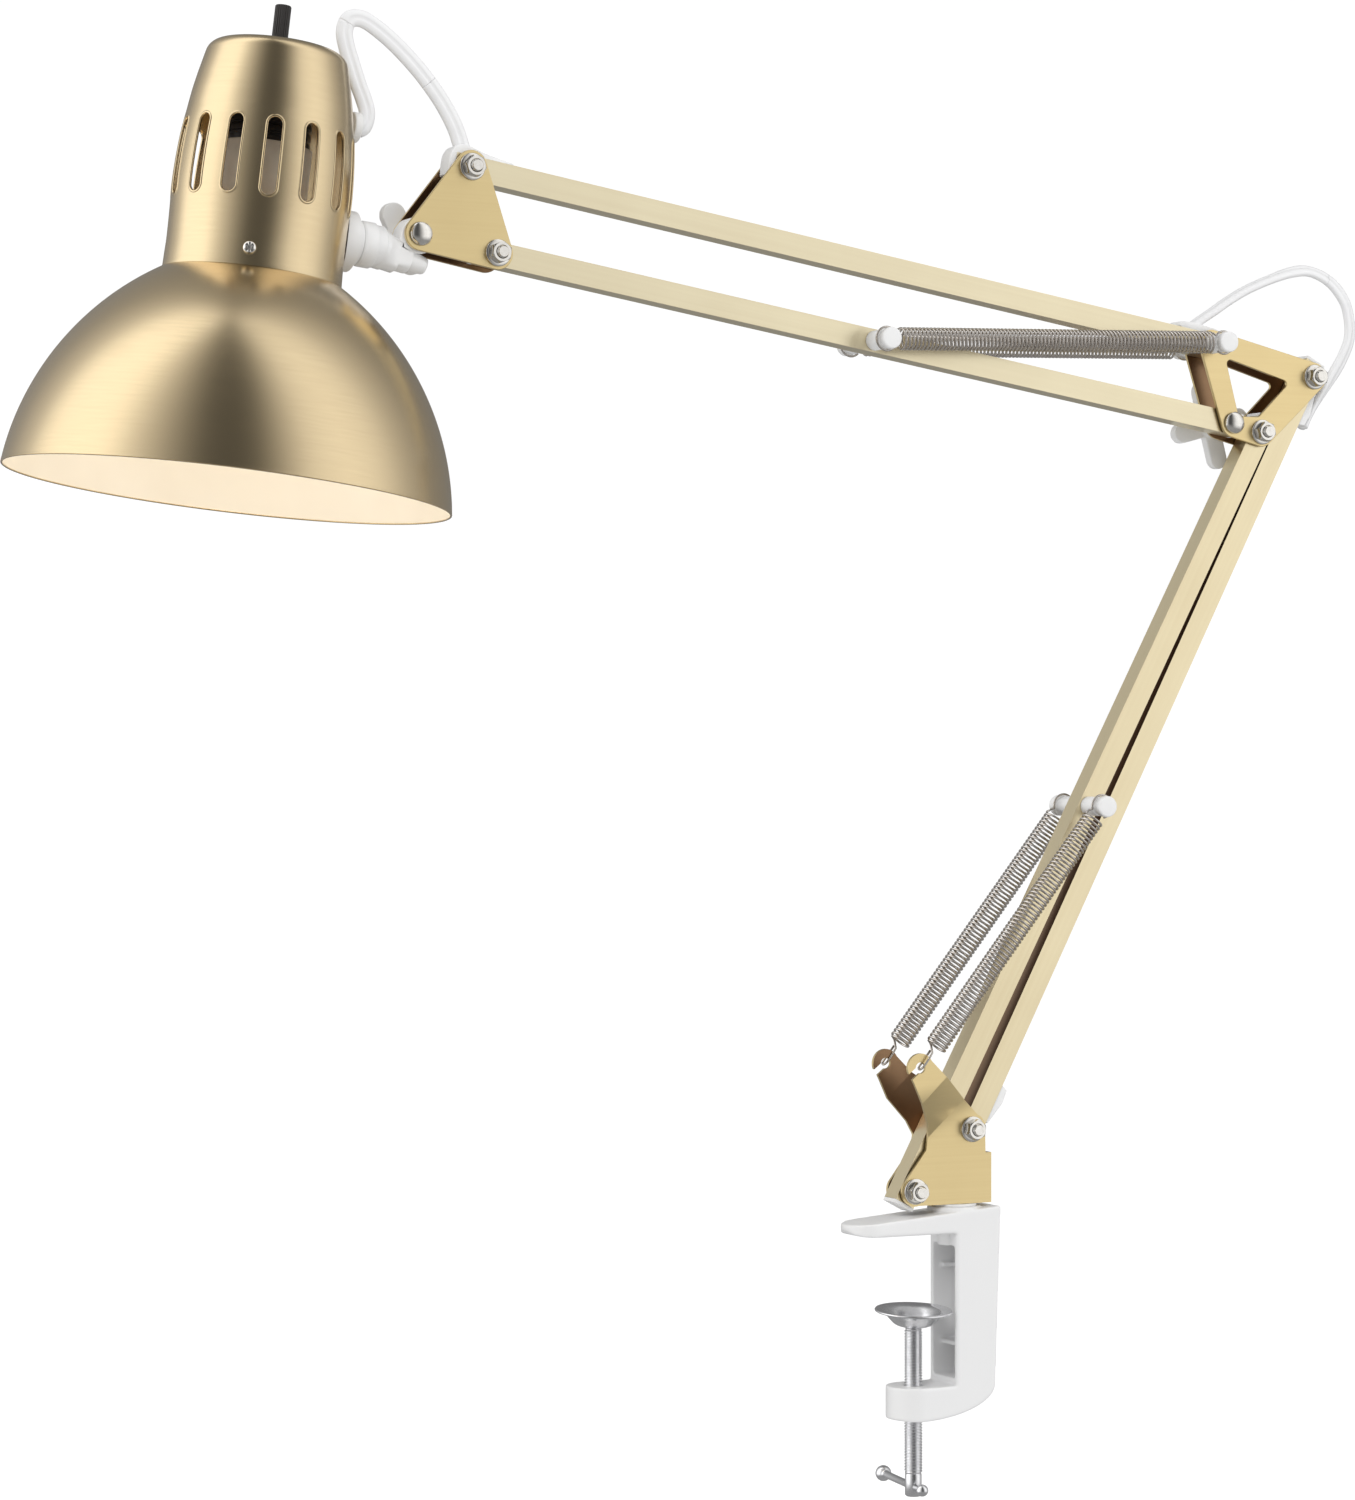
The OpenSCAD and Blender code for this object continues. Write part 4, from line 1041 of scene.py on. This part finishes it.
def dome_line(radius, low, high, count):
    """Arc of the dome's side, from its top height to its bottom height."""
    a = np.linspace(math.asin((low - dome_middle[1]) / radius),
                    math.asin((high - dome_middle[1]) / radius), count)
    return dome_middle + radius * np.stack([np.cos(a), np.sin(a)], 1)


outside = dome_line(0.1154, -0.0003, -0.0853, 90)
inside = dome_line(0.1146, -0.0853, -0.0011, 90)
rim_r = (outside[-1, 0] + inside[0, 0]) / 2
rim = [(rim_r + 0.00045 * math.cos(t), -0.0855 - 0.00045 * math.sin(t))
       for t in np.radians(np.linspace(0, 180, 9))]
shade = surface(
    "real_shade",
    on_head(turned(np.vstack([[(0.0342, 0.0050), (0.0342, -0.0003)], outside]), 192)),
    on_head(turned(np.vstack([outside[-1:], rim, inside[:1]]), 192)),
    (on_head(turned(np.vstack([inside, [(0.0334, -0.0011), (0.0334, 0.0050),
                                        (0.0342, 0.0050)]]), 192)), 1),
)
rides(shade, "head", "brass_paint", "shade", head_brass, enamel)

# ---- Head: lampholder, bulb, switch and gland ----
# A ribbed black phenolic lampholder hangs from the cup's crown, with a beige card sleeve seen
# through the slots and a lit opal bulb. On top sit the switch's nut and knurled black knob.
bakelite, shader, place = finish_of("black_phenolic", (0.020, 0.018, 0.017), 0.32)
feed(shader,
     Base_Color=noise(place, 200.0).mix((0.028, 0.025, 0.023), (0.014, 0.012, 0.012)),
     Roughness=0.26 + noise(place, 500.0) * 0.2)
holder_line = [(0.0134, 0.0410), (0.0134, 0.0080), (0.0160, 0.0080), (0.0160, 0.0538),
               (0.0170, 0.0540)]
for k in range(6):
    h = 0.0545 + 0.0038 * k
    holder_line += [(0.0170, h), (0.0169, h + 0.0016), (0.0160, h + 0.0020), (0.0160, h + 0.0028),
                    (0.0170, h + 0.0032)]
holder_line += [(0.0168, 0.0780), (0.0070, 0.0784), (0.0070, 0.0864), (0, 0.0864)]
holder = surface("real_lampholder", on_head(turned([(0, 0.0410)] + holder_line, 72)))
holder.data.set_sharp_from_angle(angle=math.radians(45))
rides(holder, "head", "black_plastic", "lampholder", bakelite)

card, shader, place = finish_of("beige_card", (0.55, 0.50, 0.42), 0.55)
feed(shader,
     Base_Color=noise(place, 160.0, 4.0).mix((0.62, 0.57, 0.48), (0.46, 0.41, 0.34)),
     Roughness=0.45 + noise(place, 500.0) * 0.2)
rounded("holder_sleeve", "head", "beige_plastic", card, 0.0003)

opal, shader, place = finish_of("lit_opal_glass", (0.95, 0.90, 0.80), 0.18)
glow = noise(place, 60.0)
feed(shader,
     Base_Color=glow.mix((0.96, 0.92, 0.84), (0.92, 0.87, 0.78)),
     Emission_Color=glow.mix((1.0, 0.86, 0.62), (1.0, 0.82, 0.56)), Emission_Strength=1.6)
bulb_line = smooth_path([(0.0, 0, 0.0360), (0.0090, 0, 0.0360), (0.0126, 0, 0.0342),
                         (0.0130, 0, 0.0300), (0.0130, 0, 0.0120), (0.0136, 0, 0.0050),
                         (0.0158, 0, -0.0045),
                         (0.0212, 0, -0.0128), (0.0270, 0, -0.0208), (0.0298, 0, -0.0305),
                         (0.0297, 0, -0.0385), (0.0266, 0, -0.0480), (0.0212, 0, -0.0552),
                         (0.0142, 0, -0.0604), (0.0072, 0, -0.0631),
                         (0.0, 0, -0.0640)], 110)[:, [0, 2]]
bulb_line = np.maximum(bulb_line, [0, -1])
bulb = surface("real_bulb", on_head(turned(bulb_line, 72)))
rides(bulb, "head", "bulb_glass", "bulb", opal)

nut_grid = hexagon_nut(0.0078, 0.0030, 0.0033, 0.1)
collar = surface("real_switch_nut", on_head(placed(nut_grid, (0, 0, 0.09402))),
                 on_head(turned([(0, 0.0876), (0.0033, 0.0876), (0.0033, 0.0958), (0.0033, 0.0970),
                                 (0.0031, 0.0972), (0, 0.0972)], 40)))
collar.data.set_sharp_from_angle(angle=math.radians(28))
rides(collar, "head", "bolt_steel", "switch_nut", nickel)


def knurled(low, high, radius, ribs, depth):
    """A knob: r = radius - depth (1 - |cos(ribs a / 2)|), with rounded ends."""
    a = np.linspace(0, 2 * np.pi, ribs * 8 + 1)
    t = np.radians(np.linspace(0, 90, 6))
    soft = 0.0007
    r = np.concatenate([[0], radius - soft + soft * np.sin(t),
                        radius - soft + soft * np.cos(t), [0]])
    h = np.concatenate([[low], low + soft * (1 - np.cos(t)),
                        high - soft + soft * np.sin(t), [high]])
    cut = depth * (1 - np.abs(np.cos(ribs * a / 2))) * (r[:, None] > radius * 0.7)
    r = r[:, None] - cut
    return polar(r, a, h[:, None])


knob = surface("real_switch_knob", on_head(knurled(0.0973, 0.1115, 0.0033, 22, 0.00028)),
               on_head(turned(rod(0.00155, 0.0890, 0.0975), 24)))
rides(knob, "switch_knob", "black_plastic", "switch_knob", bakelite)
rounded("cord_gland", "head", "white_plastic", nylon, 0.0007)

lit = bpy.data.lights.new("bulb_light", "POINT")
lit.energy, lit.color, lit.shadow_soft_size = 0.085, (1.0, 0.82, 0.58), 0.028
lit_holder = added("bulb_light", lit)
lit_holder.location = tuple(head_at - 0.075 * head_up)
lit_holder.visible_glossy = False
